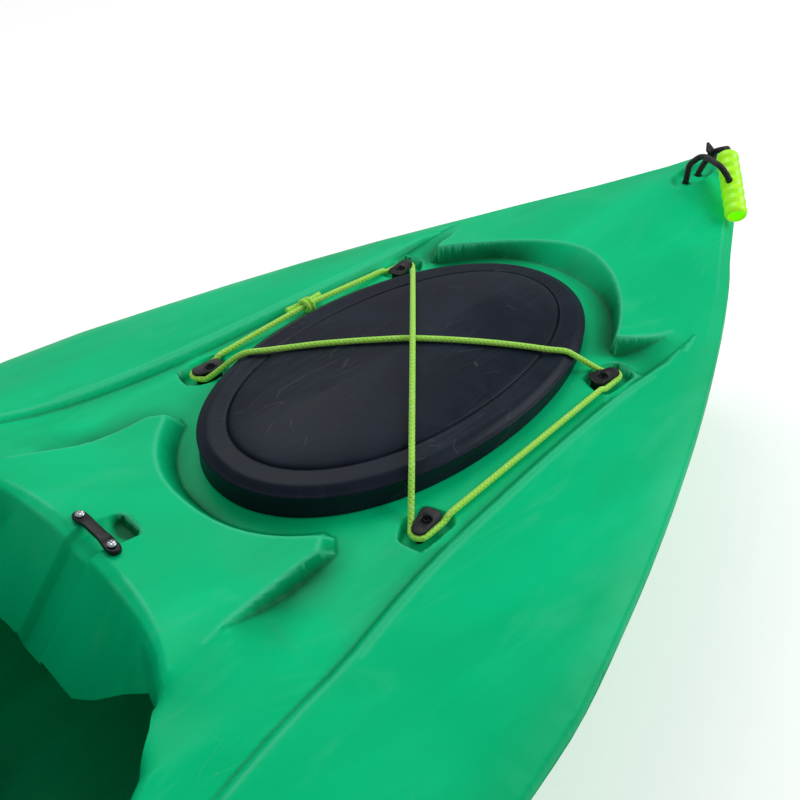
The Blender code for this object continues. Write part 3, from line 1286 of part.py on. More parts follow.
def pan_top(x, y):
    """Height of the pan's faceted top at a point, straight between its stations."""
    t = (x - SEAT_REAR) / SEAT_LENGTH
    bay = max(k for k in range(len(PAN_STATIONS) - 1) if PAN_STATIONS[k] <= t)
    aft, fore = (seat_section(SEAT_REAR + SEAT_LENGTH * PAN_STATIONS[k]) for k in (bay, bay + 1))
    along = (t - PAN_STATIONS[bay]) / (PAN_STATIONS[bay + 1] - PAN_STATIONS[bay])
    line = [(ya, za + (zb - za) * along) for (ya, za), (_, zb) in zip(aft, fore)]
    for (y0, z0), (y1, z1) in zip(line, line[1:]):
        if y0 <= y <= y1:
            return z0 + (z1 - z0) * (y - y0) / (y1 - y0)
    return line[4][1]


def seat(shop):
    """Moulded pan standing on the hull floor, and its padded cushion with sewn channels."""
    stations = [SEAT_REAR + SEAT_LENGTH * t for t in PAN_STATIONS]
    rings = []
    for x in stations:
        section = seat_section(x)
        rings.append([(x, -y, z) for y, z in reversed(section)] + [(x, y, z) for y, z in section[1:]])

    def lip(ring, shift, squash):
        return [(p[0] + shift, p[1], SEAT_BASE_Z + (p[2] - SEAT_BASE_Z) * squash) for p in ring]

    rings = [lip(rings[0], -0.012, 0.86)] + rings + [lip(rings[-1], 0.008, 0.93),
                            lip(rings[-1], 0.012, 0.72)]
    pan = shop.loft("seat_pan", rings, (BLACK, 0.5), ring_closed=False, capped=False)
    wall = pan.modifiers.new("wall", "SOLIDIFY")
    wall.thickness = SEAT_WALL
    wall.offset = 1.0
    wall.use_even_offset = True

    across = [-1, -0.93, -0.78, -0.62, -0.56, -0.50, -0.32, -0.12, 0.0, 0.12, 0.32, 0.50, 0.56, 0.62,
              0.78, 0.93, 1]
    rings = []
    half = 0.74 * SEAT_HALF_WIDTH
    for t in CUSHION_STATIONS:
        x = SEAT_REAR + SEAT_LENGTH * (CUSHION_START + CUSHION_SPAN * t)
        under = [pan_top(x, abs(u) * half) + CUSHION_REST for u in across]
        end = math.sqrt(max(0.0, 1 - abs(2 * t - 1) ** 6))
        top = []
        for u, low in zip(across, under):
            sew = 0.30 * math.exp(-((abs(u) - 0.56) / 0.045) ** 2)
            sew += 0.30 * (math.exp(-((t - 0.36) / 0.030) ** 2) + math.exp(-((t - 0.66) / 0.030) ** 2)) * (abs(u) < 0.56)
            edge = math.sqrt(max(0.0, 1 - abs(u) ** 5))
            top.append(low + 0.004 + CUSHION_THICKNESS * edge * end * (1 - min(sew, 0.45)))
        pull = 0.94 + 0.06 * end
        upper = [(x, u * half * pull, z) for u, z in zip(across, top)]
        lower = [(x, u * half * pull, z) for u, z in zip(across, under)]
        rings.append(upper + list(reversed(lower)))
    shop.loft("seat_cushion", rings, (GREY, 0.85))


def backrest_frame():
    """World matrix of the backrest: origin on its hinge, Z up the panel, X to its front."""
    return (Matrix.Translation((SEAT_REAR + HINGE_FROM_REAR, 0, HINGE_HEIGHT))
            @ Matrix.Rotation(-BACKREST_LEAN, 4, "Y"))


def backrest(shop):
    """Curved panel hinged on two pins at the seat's rear corners, with its cushion."""
    frame = backrest_frame()
    across = [-1 + 2 * k / 12 for k in range(13)]
    heights = [0.0, 0.012, 0.040, 0.080, 0.120, 0.155, 0.180, 0.197, BACKREST_HEIGHT]

    def half(z):
        return PANEL_HALF_WIDTH * (1 - 0.22 * ramp(z, 0.11, BACKREST_HEIGHT) ** 2)

    def depth(u, z):
        return -0.006 + 0.030 * u * u * (0.5 + 0.5 * ramp(z, 0.0, 0.12)) - 0.010 * ramp(z, 0.12,
                                BACKREST_HEIGHT)

    base = 0.014
    rings = [[(depth(u, z), u * half(z), base + z) for u in across] for z in heights]
    panel = shop.loft("backrest_panel", rings, (BLACK, 0.5), ring_closed=False, capped=False)
    panel.matrix_world = frame
    wall = panel.modifiers.new("wall", "SOLIDIFY")
    wall.thickness = BACKREST_WALL
    wall.offset = 0.0
    wall.use_even_offset = True

    front = BACKREST_WALL / 2 + CUSHION_GAP
    rings = []
    levels = [0.020, 0.024, 0.040, 0.064, 0.072, 0.080, 0.108, 0.124, 0.132, 0.140, 0.164, 0.182, 0.190]
    across_pad = [-1, -0.92, -0.70, -0.46, -0.38, -0.30, -0.12, 0.0, 0.12, 0.30, 0.38, 0.46, 0.70, 0.92, 1]
    low, high = levels[0], levels[-1]
    for z in levels:
        t = (z - low) / (high - low)
        end = math.sqrt(max(0.0, 1 - abs(2 * t - 1) ** 6))
        back, face = [], []
        for u in across_pad:
            v = u * 0.93
            rest = depth(v, z) + front
            sew = 0.32 * (math.exp(-((z - 0.072) / 0.006) ** 2) + math.exp(-((z - 0.132) / 0.006) ** 2))
            sew += 0.30 * math.exp(-((abs(u) - 0.38) / 0.05) ** 2)
            edge = math.sqrt(max(0.0, 1 - abs(u) ** 5))
            back.append((rest, v * half(z), base + z))
            face.append((rest + 0.004 + BACKREST_PAD * edge * end * (1 - min(sew, 0.45)), v * half(z),
                        base + z))
        rings.append(face + list(reversed(back)))
    pad = shop.loft("backrest_cushion", rings, (GREY, 0.85))
    pad.matrix_world = frame


def hinge_ears(shop):
    """Per side: an ear on the seat, an ear on the panel and the pin through both."""
    foot_x = SEAT_REAR + HINGE_FROM_REAR
    for side, flank in ((1, "port"), (-1, "starboard")):
        seat_top = seat_section(foot_x)[5][1]
        outline = rounded_outline([(-0.020, seat_top + 0.0006 - HINGE_HEIGHT),
                                (0.020, seat_top + 0.0006 - HINGE_HEIGHT),
                                   (EAR_WIDTH / 2, EAR_WIDTH / 2), (-EAR_WIDTH / 2,
                                                           EAR_WIDTH / 2)], 0.012, 4)
        ear = shop.plate(f"seat_bracket_{flank}", [(p.x, p.y) for p in outline], EAR_THICKNESS,
                         (BLACK, 0.4))
        y = side * EAR_Y
        upright = Matrix.Rotation(math.pi / 2, 4, "X")
        ear.matrix_world = Matrix.Translation((foot_x, y, HINGE_HEIGHT)) @ upright
        through = Matrix.Translation((foot_x, y, HINGE_HEIGHT)) @ upright
        bore = shop.rod_cutter(f"seat_bracket_bore_{flank}", PIN_RADIUS + GAP, 0.02, through, 16)
        shop.cut(ear, bore)

        arm_y = side * ARM_Y
        arm_outline = rounded_outline([(-0.011, -0.011), (0.011, -0.011), (0.030, 0.046), (0.028, 0.066),
                                (0.006, 0.066)],
                                      0.009, 4)
        arm = shop.plate(f"backrest_arm_{flank}", [(p.x, p.y) for p in arm_outline], EAR_THICKNESS,
                         (BLACK, 0.4))
        arm.matrix_world = Matrix.Translation((foot_x, arm_y,
                                HINGE_HEIGHT)) @ Matrix.Rotation(-BACKREST_LEAN, 4, "Y") @ upright
        arm_bore = shop.rod_cutter(f"backrest_arm_bore_{flank}", PIN_RADIUS + GAP, 0.02,
                                   Matrix.Translation((foot_x, arm_y, HINGE_HEIGHT)) @ upright, 16)
        shop.cut(arm, arm_bore)

        reach = 2 * EAR_THICKNESS + RUNNING_CLEARANCE + 2 * GAP
        profile = ((0.0, 0.0025), (PIN_RADIUS + 0.0015, 0.0025), (PIN_RADIUS + 0.0025, 0.0010),
                   (PIN_RADIUS + 0.0025, 0.0), (PIN_RADIUS, 0.0), (PIN_RADIUS, -reach), (0.0,
                                           -reach - 0.0015))
        pin = shop.turned(f"hinge_pin_{flank}", profile, (STEEL, 0.3, 1.0), 16)
        outward = Matrix.Rotation(-side * math.pi / 2, 4, "X")
        pin.matrix_world = Matrix.Translation((foot_x, y + side * (EAR_THICKNESS / 2 + GAP),
                                HINGE_HEIGHT)) @ outward


def rail_line(side):
    """Both ends of a foot rail's back face on the hull's inside, and its direction."""
    ends = []
    for x in (RAIL_START, RAIL_START + RAIL_LENGTH):
        low = inside_breadth(x, RAIL_HEIGHT - RAIL_WIDTH / 2)
        ends.append(Vector((x, side * (low - RAIL_CLEARANCE), RAIL_HEIGHT)))
    return ends


def rail_frame(side):
    """World matrix of a rail: X along it to the bow, Y inboard."""
    start, end = rail_line(side)
    along = (end - start).normalized()
    up = Vector((0, 0, -side))
    inboard = up.cross(along)
    return Matrix(((along.x, inboard.x, up.x, start.x), (along.y, inboard.y, up.y, start.y),
                   (along.z, inboard.z, up.z, start.z), (0, 0, 0, 1)))


def footrests(shop):
    """Two slotted rails screwed to the hull, each with a pedal that slides in it."""
    lip = 0.007
    half, deep, wall = RAIL_WIDTH / 2, RAIL_DEPTH, RAIL_WALL
    channel = [(0.0, -half), (deep, -half), (deep, -half + lip), (deep - wall, -half + lip),
               (deep - wall, -half + wall),
               (wall, -half + wall), (wall, half - wall), (deep - wall, half - wall), (deep - wall,
                                       half - lip),
               (deep, half - lip), (deep, half), (0.0, half)]
    for side, flank in ((1, "port"), (-1, "starboard")):
        frame = rail_frame(side)
        length = (rail_line(side)[1] - rail_line(side)[0]).length
        rings = [[(x, y, z) for y, z in channel] for x in (0.0, length)]
        rail = shop.loft(f"foot_rail_{flank}", rings, (BLACK, 0.45))
        rail.matrix_world = frame
        for place, end in ((0.020, "aft"), (length - 0.020, "fore")):
            inward = frame @ Matrix.Translation((place, wall + GAP, 0)) @ Matrix.Rotation(-math.pi / 2, 4,
                                    "X")
            bore = shop.rod_cutter(f"rail_bore_{flank}_{end}", SCREW_RADIUS + GAP, 0.012, inward, 12)
            shop.cut(rail, bore)
            screw(shop, f"rail_screw_{flank}_{end}", inward, wall + GAP * 2, STEEL)

        c = RUNNING_CLEARANCE
        rest = 0.36 * length
        slider = [(wall + c, -half + wall + c), (deep - wall - c, -half + wall + c),
                  (deep - wall - c, -half + lip + c),
                  (deep + 0.004, -half + lip + c), (deep + 0.004, half - lip - c), (deep - wall - c,
                                          half - lip - c),
                  (deep - wall - c, half - wall - c), (wall + c, half - wall - c)]
        rings = [[(x, y, z) for y, z in slider] for x in (-SLIDER_LENGTH / 2, SLIDER_LENGTH / 2)]
        pedal = shop.loft(f"foot_pedal_{flank}", rings, (BLACK, 0.45))
        pedal.matrix_world = frame @ Matrix.Translation((rest, 0, 0))
        plate_rings = []
        for y, reach in ((deep + 0.002, 0.40), (deep + 0.010, 0.46), (deep + 0.022, 0.5),
                         (deep + PEDAL_WIDTH - 0.008, 0.5),
                         (deep + PEDAL_WIDTH, 0.42)):
            h = PEDAL_HEIGHT * reach
            t = PEDAL_THICKNESS
            bow = 0.006 * ((y - deep) / PEDAL_WIDTH) ** 2
            plate_rings.append([(bow, y, -h), (bow + t, y, -h), (bow + t, y, h), (bow, y, h)])
        blade = shop.loft(f"pedal_blade_{flank}", plate_rings, None, cutter=True)
        blade.matrix_world = frame @ Matrix.Translation((rest, 0, 0))
        shop.cut(pedal, blade, "UNION")


def under_deck(x, y):
    """Height that stays clear under the deck between the hatch and the cockpit."""
    ridge = spline(RIDGE_CREST, x - HATCH_X)
    above = min(hatch_floor(x), crown(x, y)) if y < ridge else crown(x, y) - RIDGE_DROP
    return above - DECK_WALL - UNDER_DECK_CLEARANCE


def flotation(shop):
    """Foam bulkhead behind the cockpit and foam pillar ahead of the footrests."""
    aft = RIM_REAR_X - BULKHEAD_FROM_RIM - BULKHEAD_THICKNESS
    rings = []
    for x in (aft, aft + BULKHEAD_THICKNESS / 2, aft + BULKHEAD_THICKNESS):
        rim = sheer(x) - GUNWALE_FLANGE - 0.006
        side = inside_breadth(x, rim, FOAM_CLEARANCE + 0.003)
        ring = [(x, inside_breadth(x, z, FOAM_CLEARANCE), z + FOAM_CLEARANCE) for z in BULKHEAD_LEVELS]
        ring.append((x, side, rim))
        ring += [(x, y * side, under_deck(x, y * side)) for y in BULKHEAD_ROOF]
        rings.append(ring + [(px, -py, pz) for px, py, pz in reversed(ring)])
    shop.loft("stern_bulkhead", rings, (FOAM, 0.9))

    half = PILLAR_THICKNESS / 2
    rings = []
    for k in range(7):
        x = PILLAR_START + PILLAR_LENGTH * k / 6
        section = cavity_section(x)
        floor = max(z for y, z in section if y < half) if half > section[1][0] else section[1][1]
        for (y0, z0), (y1, z1) in zip(section, section[1:]):
            if y0 <= half <= y1:
                floor = max(floor, z0 + (z1 - z0) * (half - y0) / (y1 - y0))
        roof = crown(x, half) - DECK_WALL - UNDER_DECK_CLEARANCE
        low = floor + FOAM_CLEARANCE
        rings.append([(x, -half, low), (x, half, low), (x, half, roof), (x, -half, roof)])
    shop.loft("bow_foam_pillar", rings, (FOAM, 0.9))


def drain(shop, hull):
    """Threaded seat in the starboard flank near the stern, with its washer and plug."""
    x = STERN_X + DRAIN_FROM_STERN
    section = hull_section(x)
    (y0, z0), (y1, z1) = section[-4], section[-2]
    spot = Vector((x, -(y0 + y1) / 2, (z0 + z1) / 2))
    ahead = hull_section(x + 0.01)
    behind = hull_section(x - 0.01)
    fore = Vector((0.02, -((ahead[-4][0] + ahead[-2][0]) - (behind[-4][0] + behind[-2][0])) / 2,
                   ((ahead[-4][1] + ahead[-2][1]) - (behind[-4][1] + behind[-2][1])) / 2)).normalized()
    rise = Vector((0.0, -(y1 - y0), z1 - z0)).normalized()
    out = rise.cross(fore).normalized()
    if out.y > 0:
        out = -out
    fore = rise.cross(out).normalized()
    rise = out.cross(fore).normalized()
    frame = Matrix(((fore.x, rise.x, out.x, spot.x), (fore.y, rise.y, out.y, spot.y),
                   (fore.z, rise.z, out.z, spot.z),
                    (0, 0, 0, 1)))
    r = DRAIN_RADIUS
    flange = r + 0.008
    under = 0.0016
    proud = 0.0038
    hole = shop.rod_cutter("drain_hole", r + 0.003 + 2 * GAP, 0.060, frame, 24)
    shop.cut(hull, hole)
    profile = ((r + GAP, proud), (flange, proud - 0.0004), (flange, under), (r + 0.003, under),
               (r + 0.003, -0.012),
               (r + GAP, -0.012), (r + GAP, proud))
    ring_seat = shop.turned("drain_seat", profile, (BLACK, 0.45), 24)
    ring_seat.matrix_world = frame
    head = proud + GAP + 0.0014
    profile = ((r + 0.0006, head), (r + 0.004, head), (r + 0.004, proud + GAP), (r + 0.0006, proud + GAP),
               (r + 0.0006, head))
    washer = shop.turned("drain_washer", profile, (BLACK, 0.8), 24)
    washer.matrix_world = frame
    low = head + GAP
    profile = ((0.0, low + 0.0030), (r * 0.8, low + 0.0040), (r + 0.005, low + 0.0040),
               (r + 0.006, low + 0.0028), (r + 0.006, low),
               (r, low), (r, -0.010), (0.0, -0.010))
    plug = shop.turned("drain_plug", profile, (BLACK, 0.45), 24)
    plug.matrix_world = frame
    bm = bmesh.new()
    bmesh.ops.create_cube(bm, size=1.0)
    bmesh.ops.scale(bm, vec=(r * 1.5, 0.0035, 0.010), verts=bm.verts)
    mesh = bpy.data.meshes.new("drain_key")
    bm.to_mesh(mesh)
    bm.free()
    key = shop.add("drain_key", mesh, None, cutter=True)
    key.matrix_world = frame @ Matrix.Translation((0, 0, low + 0.0045))
    shop.cut(plug, key, "UNION")


def main():
    for old in list(bpy.data.objects):
        bpy.data.objects.remove(old)
    shop = Workshop()
    hull = hull_shell(shop)
    deck_shell(shop)
    hatch(shop)
    pad_eyes(shop)
    bungee(shop)
    strap_bracket(shop)
    handle(shop, -1, "stern")
    handle(shop, 1, "bow")
    seat(shop)
    backrest(shop)
    hinge_ears(shop)
    footrests(shop)
    flotation(shop)
    drain(shop, hull)


main()
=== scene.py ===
"""Looks of a short sit-in recreational kayak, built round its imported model.

Metres, +Z up, +X to the bow, +Y to port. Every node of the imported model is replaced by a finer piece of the
same place and size; brackets, arms, rails, pedals and foam are the solids themselves with rounded edges.
"""

import json
import logging
import math
from dataclasses import dataclass, field
from enum import Enum
from typing import Callable, Iterable, Sequence

import bmesh
import bpy
import numpy as np
from mathutils import Matrix, Vector
from mathutils.bvhtree import BVHTree
from mathutils.geometry import delaunay_2d_cdt
from mathutils.kdtree import KDTree

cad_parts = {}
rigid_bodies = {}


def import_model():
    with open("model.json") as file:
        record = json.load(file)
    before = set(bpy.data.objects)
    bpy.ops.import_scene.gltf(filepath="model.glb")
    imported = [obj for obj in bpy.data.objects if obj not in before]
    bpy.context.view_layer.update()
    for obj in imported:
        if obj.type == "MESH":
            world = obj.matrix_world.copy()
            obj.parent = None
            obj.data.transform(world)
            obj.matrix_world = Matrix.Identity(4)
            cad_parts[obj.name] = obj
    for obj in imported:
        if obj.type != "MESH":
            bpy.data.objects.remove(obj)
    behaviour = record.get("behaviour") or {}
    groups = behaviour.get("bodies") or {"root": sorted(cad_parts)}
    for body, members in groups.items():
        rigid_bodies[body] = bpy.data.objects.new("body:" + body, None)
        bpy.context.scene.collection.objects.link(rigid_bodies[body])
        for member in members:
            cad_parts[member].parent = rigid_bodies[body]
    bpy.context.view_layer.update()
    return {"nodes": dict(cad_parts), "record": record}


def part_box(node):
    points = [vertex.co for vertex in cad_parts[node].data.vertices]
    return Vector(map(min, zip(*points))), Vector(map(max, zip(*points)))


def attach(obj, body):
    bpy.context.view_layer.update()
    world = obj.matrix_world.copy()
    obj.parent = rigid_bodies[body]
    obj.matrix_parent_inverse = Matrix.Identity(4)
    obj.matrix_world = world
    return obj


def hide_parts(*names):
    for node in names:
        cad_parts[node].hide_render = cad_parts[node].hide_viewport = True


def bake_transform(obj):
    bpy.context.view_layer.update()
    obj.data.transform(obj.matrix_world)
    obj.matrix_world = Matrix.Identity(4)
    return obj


for leftover in list(bpy.data.objects):
    bpy.data.objects.remove(leftover)
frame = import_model()
LOG = logging.getLogger("kayak")
Spot = tuple[float, float]
Point = tuple[float, float, float]
Plan = Sequence[Spot]
Array = np.ndarray
Piece = bpy.types.Object
Socket = bpy.types.NodeSocket

STERN_X = -1.475
LENGTH = 2.95
HATCH_X = -0.865
LIP_Z = 0.300
FLOOR_SLOPE = 0.028
SAME_POINT = 1e-6
UNTURNED = Matrix.Identity(4)
FLANKS = ((1, "port"), (-1, "starboard"))
BLACK, WHITE = (0, 0, 0, 1), (1, 1, 1, 1)


def tint(code: str) -> tuple[float, float, float, float]:
    """Linear colour of a six-figure sRGB code."""
    parts = [int(code[i:i + 2], 16) / 255 for i in (0, 2, 4)]
    return (*(p / 12.92 if p <= 0.04045 else ((p + 0.055) / 1.055) ** 2.4 for p in parts), 1.0)


def ramp(x: float, low: float, high: float) -> float:
    """Smooth step from 0 at low to 1 at high."""
    t = min(max((x - low) / (high - low), 0.0), 1.0)
    return t * t * (3 - 2 * t)


def spline(knots: Plan, x: float) -> float:
    """Value at x of the smooth monotone curve through (position, value) knots."""
    if x <= knots[0][0]:
        return knots[0][1]
    if x >= knots[-1][0]:
        return knots[-1][1]
    i = max(k for k in range(len(knots) - 1) if knots[k][0] <= x)
    (x0, y0), (x1, y1) = knots[i], knots[i + 1]
    rise = (y1 - y0) / (x1 - x0)
    before = rise if i == 0 else (y0 - knots[i - 1][1]) / (x0 - knots[i - 1][0])
    after = rise if i + 2 == len(knots) else (knots[i + 2][1] - y1) / (knots[i + 2][0] - x1)
    m0 = 0.0 if before * rise <= 0 else 2 * before * rise / (before + rise)
    m1 = 0.0 if after * rise <= 0 else 2 * after * rise / (after + rise)
    t = (x - x0) / (x1 - x0)
    return ((2 * t**3 - 3 * t**2 + 1) * y0 + (t**3 - 2 * t**2 + t) * (x1 - x0) * m0
            + (3 * t**2 - 2 * t**3) * y1 + (t**3 - t**2) * (x1 - x0) * m1)


def hatch_floor(x: float) -> float:
    """Height of the sloping floor round the hatch."""
    return LIP_Z - 0.0186 - FLOOR_SLOPE * (x - HATCH_X)


class NodeSheet:
    """Shader nodes of one finish, laid out by short calls."""

    def __init__(self, name: str) -> None:
        """Starts a material with its Principled BSDF.

        Args:
            name: The material's name.
        """
        self.material = bpy.data.materials.new(name)
        self.material.use_nodes = True
        self.tree = self.material.node_tree
        self.shader = self.tree.nodes["Principled BSDF"]
        self.place = self.add("ShaderNodeTexCoord").outputs["Object"]
        self.normal = None

    def add(self, kind: str, settings: dict | None = None, inputs: dict | None = None) -> bpy.types.Node:
        """Adds a node.

        Args:
            kind: The node's type.
            settings: Its own properties.
            inputs: Values or output sockets for its inputs, by name or number.

        Returns:
            The node.
        """
        node = self.tree.nodes.new(kind)
        for key, value in (settings or {}).items():
            setattr(node, key, value)
        for key, value in (inputs or {}).items():
            self.feed(node.inputs[key], value)
        return node

    def feed(self, socket: Socket, value: object) -> None:
        """Links an output to a socket, or sets its value."""
        if isinstance(value, Socket):
            self.tree.links.new(value, socket)
        else:
            socket.default_value = value

    def set(self, **inputs: object) -> None:
        """Feeds the shader's sockets, with underscores for spaces in their names."""
        for key, value in inputs.items():
            self.feed(self.shader.inputs[key.replace("_", " ")], value)

    def stretch(self, scale: Point) -> Socket:
        """The object's coordinates, scaled along each axis."""
        node = self.add("ShaderNodeMapping", inputs={"Vector": self.place, "Scale": scale})
        return node.outputs["Vector"]

    def noise(self, scale: float, detail: float = 3.0, rough: float = 0.5, warp: float = 0.0,
              stretch: Point | None = None) -> Socket:
        """Cloudy grey pattern.

        Args:
            scale: Clouds per metre.
            detail: Octaves.
            rough: Strength of the finer octaves.
            warp: Distortion of the pattern by itself.
            stretch: Factors on each axis, to draw the clouds out.

        Returns:
            The pattern's value, about 0.5 on average.
        """
        vector = self.stretch(stretch) if stretch else self.place
        node = self.add("ShaderNodeTexNoise", inputs={"Vector": vector, "Scale": scale, "Detail": detail,
                                                      "Roughness": rough, "Distortion": warp})
        return node.outputs["Fac"]

    def cells(self, scale: float, feature: str = "F1", stretch: Point | None = None) -> Socket:
        """Distance pattern of scattered cells."""
        vector = self.stretch(stretch) if stretch else self.place
        node = self.add("ShaderNodeTexVoronoi", {"feature": feature}, {"Vector": vector, "Scale": scale})
        return node.outputs["Distance"]

    def layer(self, name: str) -> Socket:
        """Value of a named attribute of the mesh."""
        return self.add("ShaderNodeAttribute", {"attribute_name": name}).outputs["Fac"]

    def math(self, how: str, a: object, b: object = 0.0) -> Socket:
        """One arithmetic step on numbers or outputs."""
        return self.add("ShaderNodeMath", {"operation": how}, {0: a, 1: b}).outputs[0]

    def span(self, value: object, low: float, high: float, start: float = 0.0, end: float = 1.0) -> Socket:
        """Maps low to high onto start to end, and holds it there."""
        node = self.add("ShaderNodeMapRange", inputs={"Value": value, "From Min": low, "From Max": high,
                                                      "To Min": start, "To Max": end})
        return node.outputs["Result"]

    def mix(self, share: object, a: object, b: object, how: str = "MIX") -> Socket:
        """Mixes two colours by a share."""
        node = self.add("ShaderNodeMix", {"data_type": "RGBA", "blend_type": how}, {0: share, 6: a, 7: b})
        return node.outputs[2]

    def scratches(self, scale: float, stretch: Point, clouds: float, low: float, high: float) -> Socket:
        """Fine lines along the edges of drawn-out cells, only where a cloudy pattern lies over low.

        Args:
            scale: Cells per metre.
            stretch: Factors on each axis, to draw the lines out.
            clouds: Clouds per metre of the pattern that lets the lines show.
            low: Value of that pattern from which they begin to show.
            high: Value from which they show fully.

        Returns:
            1 on a line, 0 off it.
        """
        lines = self.cells(scale, "DISTANCE_TO_EDGE", stretch)
        where = self.span(self.noise(clouds, 2.0), low, high)
        return self.math("MULTIPLY", self.span(lines, 0.012, 0.0), where)

    def bump(self, height: object, distance: float, strength: float = 1.0) -> None:
        """Adds a layer of relief to the shader's normal."""
        node = self.add("ShaderNodeBump", inputs={"Height": height, "Distance": distance, "Strength": strength})
        if self.normal is not None:
            self.feed(node.inputs["Normal"], self.normal)
        self.normal = node.outputs["Normal"]
        self.set(Normal=self.normal)


@dataclass(frozen=True)
class RotomouldedSkin:
    """Semi-gloss green polyethylene with swirled pigment and fine scratches; painted highlight on crests, painted
    shade in hollows and creases.
    """

    body: str = "00D68E"
    deep: str = "00C47E"
    # pale: pigment veins, and also the painted highlight on crests
    pale: str = "4FD6A3"
    # shade: colour of the painted shade in hollows and sunken creases
    shade: str = "004F27"

    def make(self, name: str) -> bpy.types.Material:
        """Builds the material; it reads the attributes crest and hollow where a mesh has them, for painted
        highlight and painted shade.
        """
        sheet = NodeSheet(name)
        swirl = sheet.noise(3.2, 4.0, 0.55, 1.6, (0.5, 1.4, 1.0))
        veins = sheet.noise(9.0, 5.0, 0.6, 2.4, (0.45, 1.7, 1.0))
        colour = sheet.mix(sheet.span(swirl, 0.36, 0.66), tint(self.body), tint(self.deep))
        colour = sheet.mix(sheet.span(veins, 0.56, 0.74, 0.0, 0.22), colour, tint(self.pale))
        crest = sheet.layer("crest")
        # painted shade where the deck hides the sky from a point
        colour = sheet.mix(sheet.span(sheet.layer("hollow"), 0.05, 0.45, 0.0, 0.9), colour, tint(self.shade))
        # painted highlight on raised creases
        colour = sheet.mix(sheet.span(crest, 0.05, 0.8, 0.0, 0.62), colour, tint(self.pale))
        # painted shade in sunken creases
        colour = sheet.mix(sheet.span(crest, -0.1, -0.9, 0.0, 0.45), colour, tint(self.shade))
        scratch = sheet.scratches(34.0, (0.12, 3.0, 3.4), 6.0, 0.54, 0.68)
        colour = sheet.mix(sheet.math("MULTIPLY", scratch, 0.20), colour, tint("86E3BC"))
        sheet.set(Base_Color=colour, Roughness=sheet.span(sheet.noise(22.0, 3.0), 0.3, 0.7, 0.30, 0.42),
                  Specular_IOR_Level=0.07)
        sheet.bump(sheet.noise(420.0, 2.0), 0.00018, 0.35)
        sheet.bump(sheet.noise(26.0, 2.0, 0.4), 0.0012, 0.30)
        sheet.bump(sheet.math("MULTIPLY", scratch, -1.0), 0.0003, 0.4)
        return sheet.material


@dataclass(frozen=True)
class SatinPlastic:
    """Injection-moulded or blown dark plastic with a fine grain and rubbed patches."""

    body: str
    rubbed: str
    rough: float = 0.42
    grain: float = 900.0
    relief: float = 0.00012
    scuffs: float = 0.25
    gloss: float = 0.25

    def make(self, name: str) -> bpy.types.Material:
        """Builds the material."""
        sheet = NodeSheet(name)
        cloud = sheet.noise(14.0, 4.0, 0.6, 0.8)
        colour = sheet.mix(sheet.span(cloud, 0.45, 0.75, 0.0, 0.8), tint(self.body), tint(self.rubbed))
        scuff = sheet.scratches(46.0, (0.22, 2.2, 1.0), 11.0, 0.50, 0.62)
        colour = sheet.mix(sheet.math("MULTIPLY", scuff, self.scuffs), colour, tint("8E959E"))
        sheet.set(Base_Color=colour, Specular_IOR_Level=self.gloss,
                  Roughness=sheet.span(cloud, 0.3, 0.75, self.rough - 0.05, self.rough + 0.08))
        sheet.bump(sheet.noise(self.grain, 2.0), self.relief, 0.5)
        return sheet.material


@dataclass(frozen=True)
class Braid:
    """Woven sheath of a cord; its pattern follows the UV map, where V counts diameters."""

    body: str
    light: str
    dark: str
    plaits: float = 3.0

    def make(self, name: str) -> bpy.types.Material:
        """Builds the material."""
        sheet = NodeSheet(name)
        uv = sheet.add("ShaderNodeSeparateXYZ", inputs={0: sheet.add("ShaderNodeTexCoord").outputs["UV"]})
        turn = sheet.math("MULTIPLY", uv.outputs[0], 2 * math.pi * self.plaits)
        run = sheet.math("MULTIPLY", uv.outputs[1], 2 * math.pi * 1.25)
        left = sheet.math("SINE", sheet.math("ADD", turn, run))
        right = sheet.math("SINE", sheet.math("SUBTRACT", turn, run))
        weave = sheet.math("MAXIMUM", left, right)
        strand = sheet.math("MULTIPLY", sheet.math("SINE", sheet.math("MULTIPLY", turn, 6.0)), 0.2)
        height = sheet.math("ADD", weave, strand)
        colour = sheet.mix(sheet.span(weave, -0.1, 1.0), tint(self.dark), tint(self.body))
        colour = sheet.mix(sheet.span(sheet.noise(240.0, 2.0), 0.55, 0.8, 0.0, 0.5), colour, tint(self.light))
        sheet.set(Base_Color=colour, Roughness=0.62, Sheen_Weight=0.25, Sheen_Roughness=0.4)
        sheet.bump(height, 0.00045, 0.7)
        return sheet.material


@dataclass(frozen=True)
class NeonVinyl:
    """Bright translucent vinyl of the grips, with moulding specks and a painted glow from its emission."""

    def make(self, name: str) -> bpy.types.Material:
        """Builds the material."""
        sheet = NodeSheet(name)
        cloud = sheet.noise(60.0, 3.0)
        colour = sheet.mix(sheet.span(cloud, 0.3, 0.75), tint("C8FF18"), tint("A2FF08"))
        # The emission is painted light: it makes the grip glow though it is no lamp.
        sheet.set(Base_Color=colour, Roughness=0.34, Subsurface_Weight=0.25, Subsurface_Scale=0.004,
                  Emission_Color=tint("8CFF00"), Emission_Strength=0.24)
        sheet.bump(sheet.noise(500.0, 2.0), 0.0001, 0.4)
        return sheet.material


@dataclass(frozen=True)
class BrushedSteel:
    """Polished steel of screws and pins, or the same screw in black oxide."""

    body: str = "C9CCD2"
    rough: float = 0.22
    worn: str = "9FA3AA"
    wear: float = 0.4

    def make(self, name: str) -> bpy.types.Material:
        """Builds the material."""
        sheet = NodeSheet(name)
        cloud = sheet.noise(300.0, 2.0, stretch=(1.0, 1.0, 6.0))
        colour = sheet.mix(sheet.span(cloud, 0.3, 0.7, 0.0, self.wear), tint(self.body), tint(self.worn))
        sheet.set(Base_Color=colour, Metallic=1.0,
                  Roughness=sheet.span(cloud, 0.2, 0.8, self.rough, self.rough + 0.15))
        sheet.bump(cloud, 0.00008, 0.4)
        return sheet.material


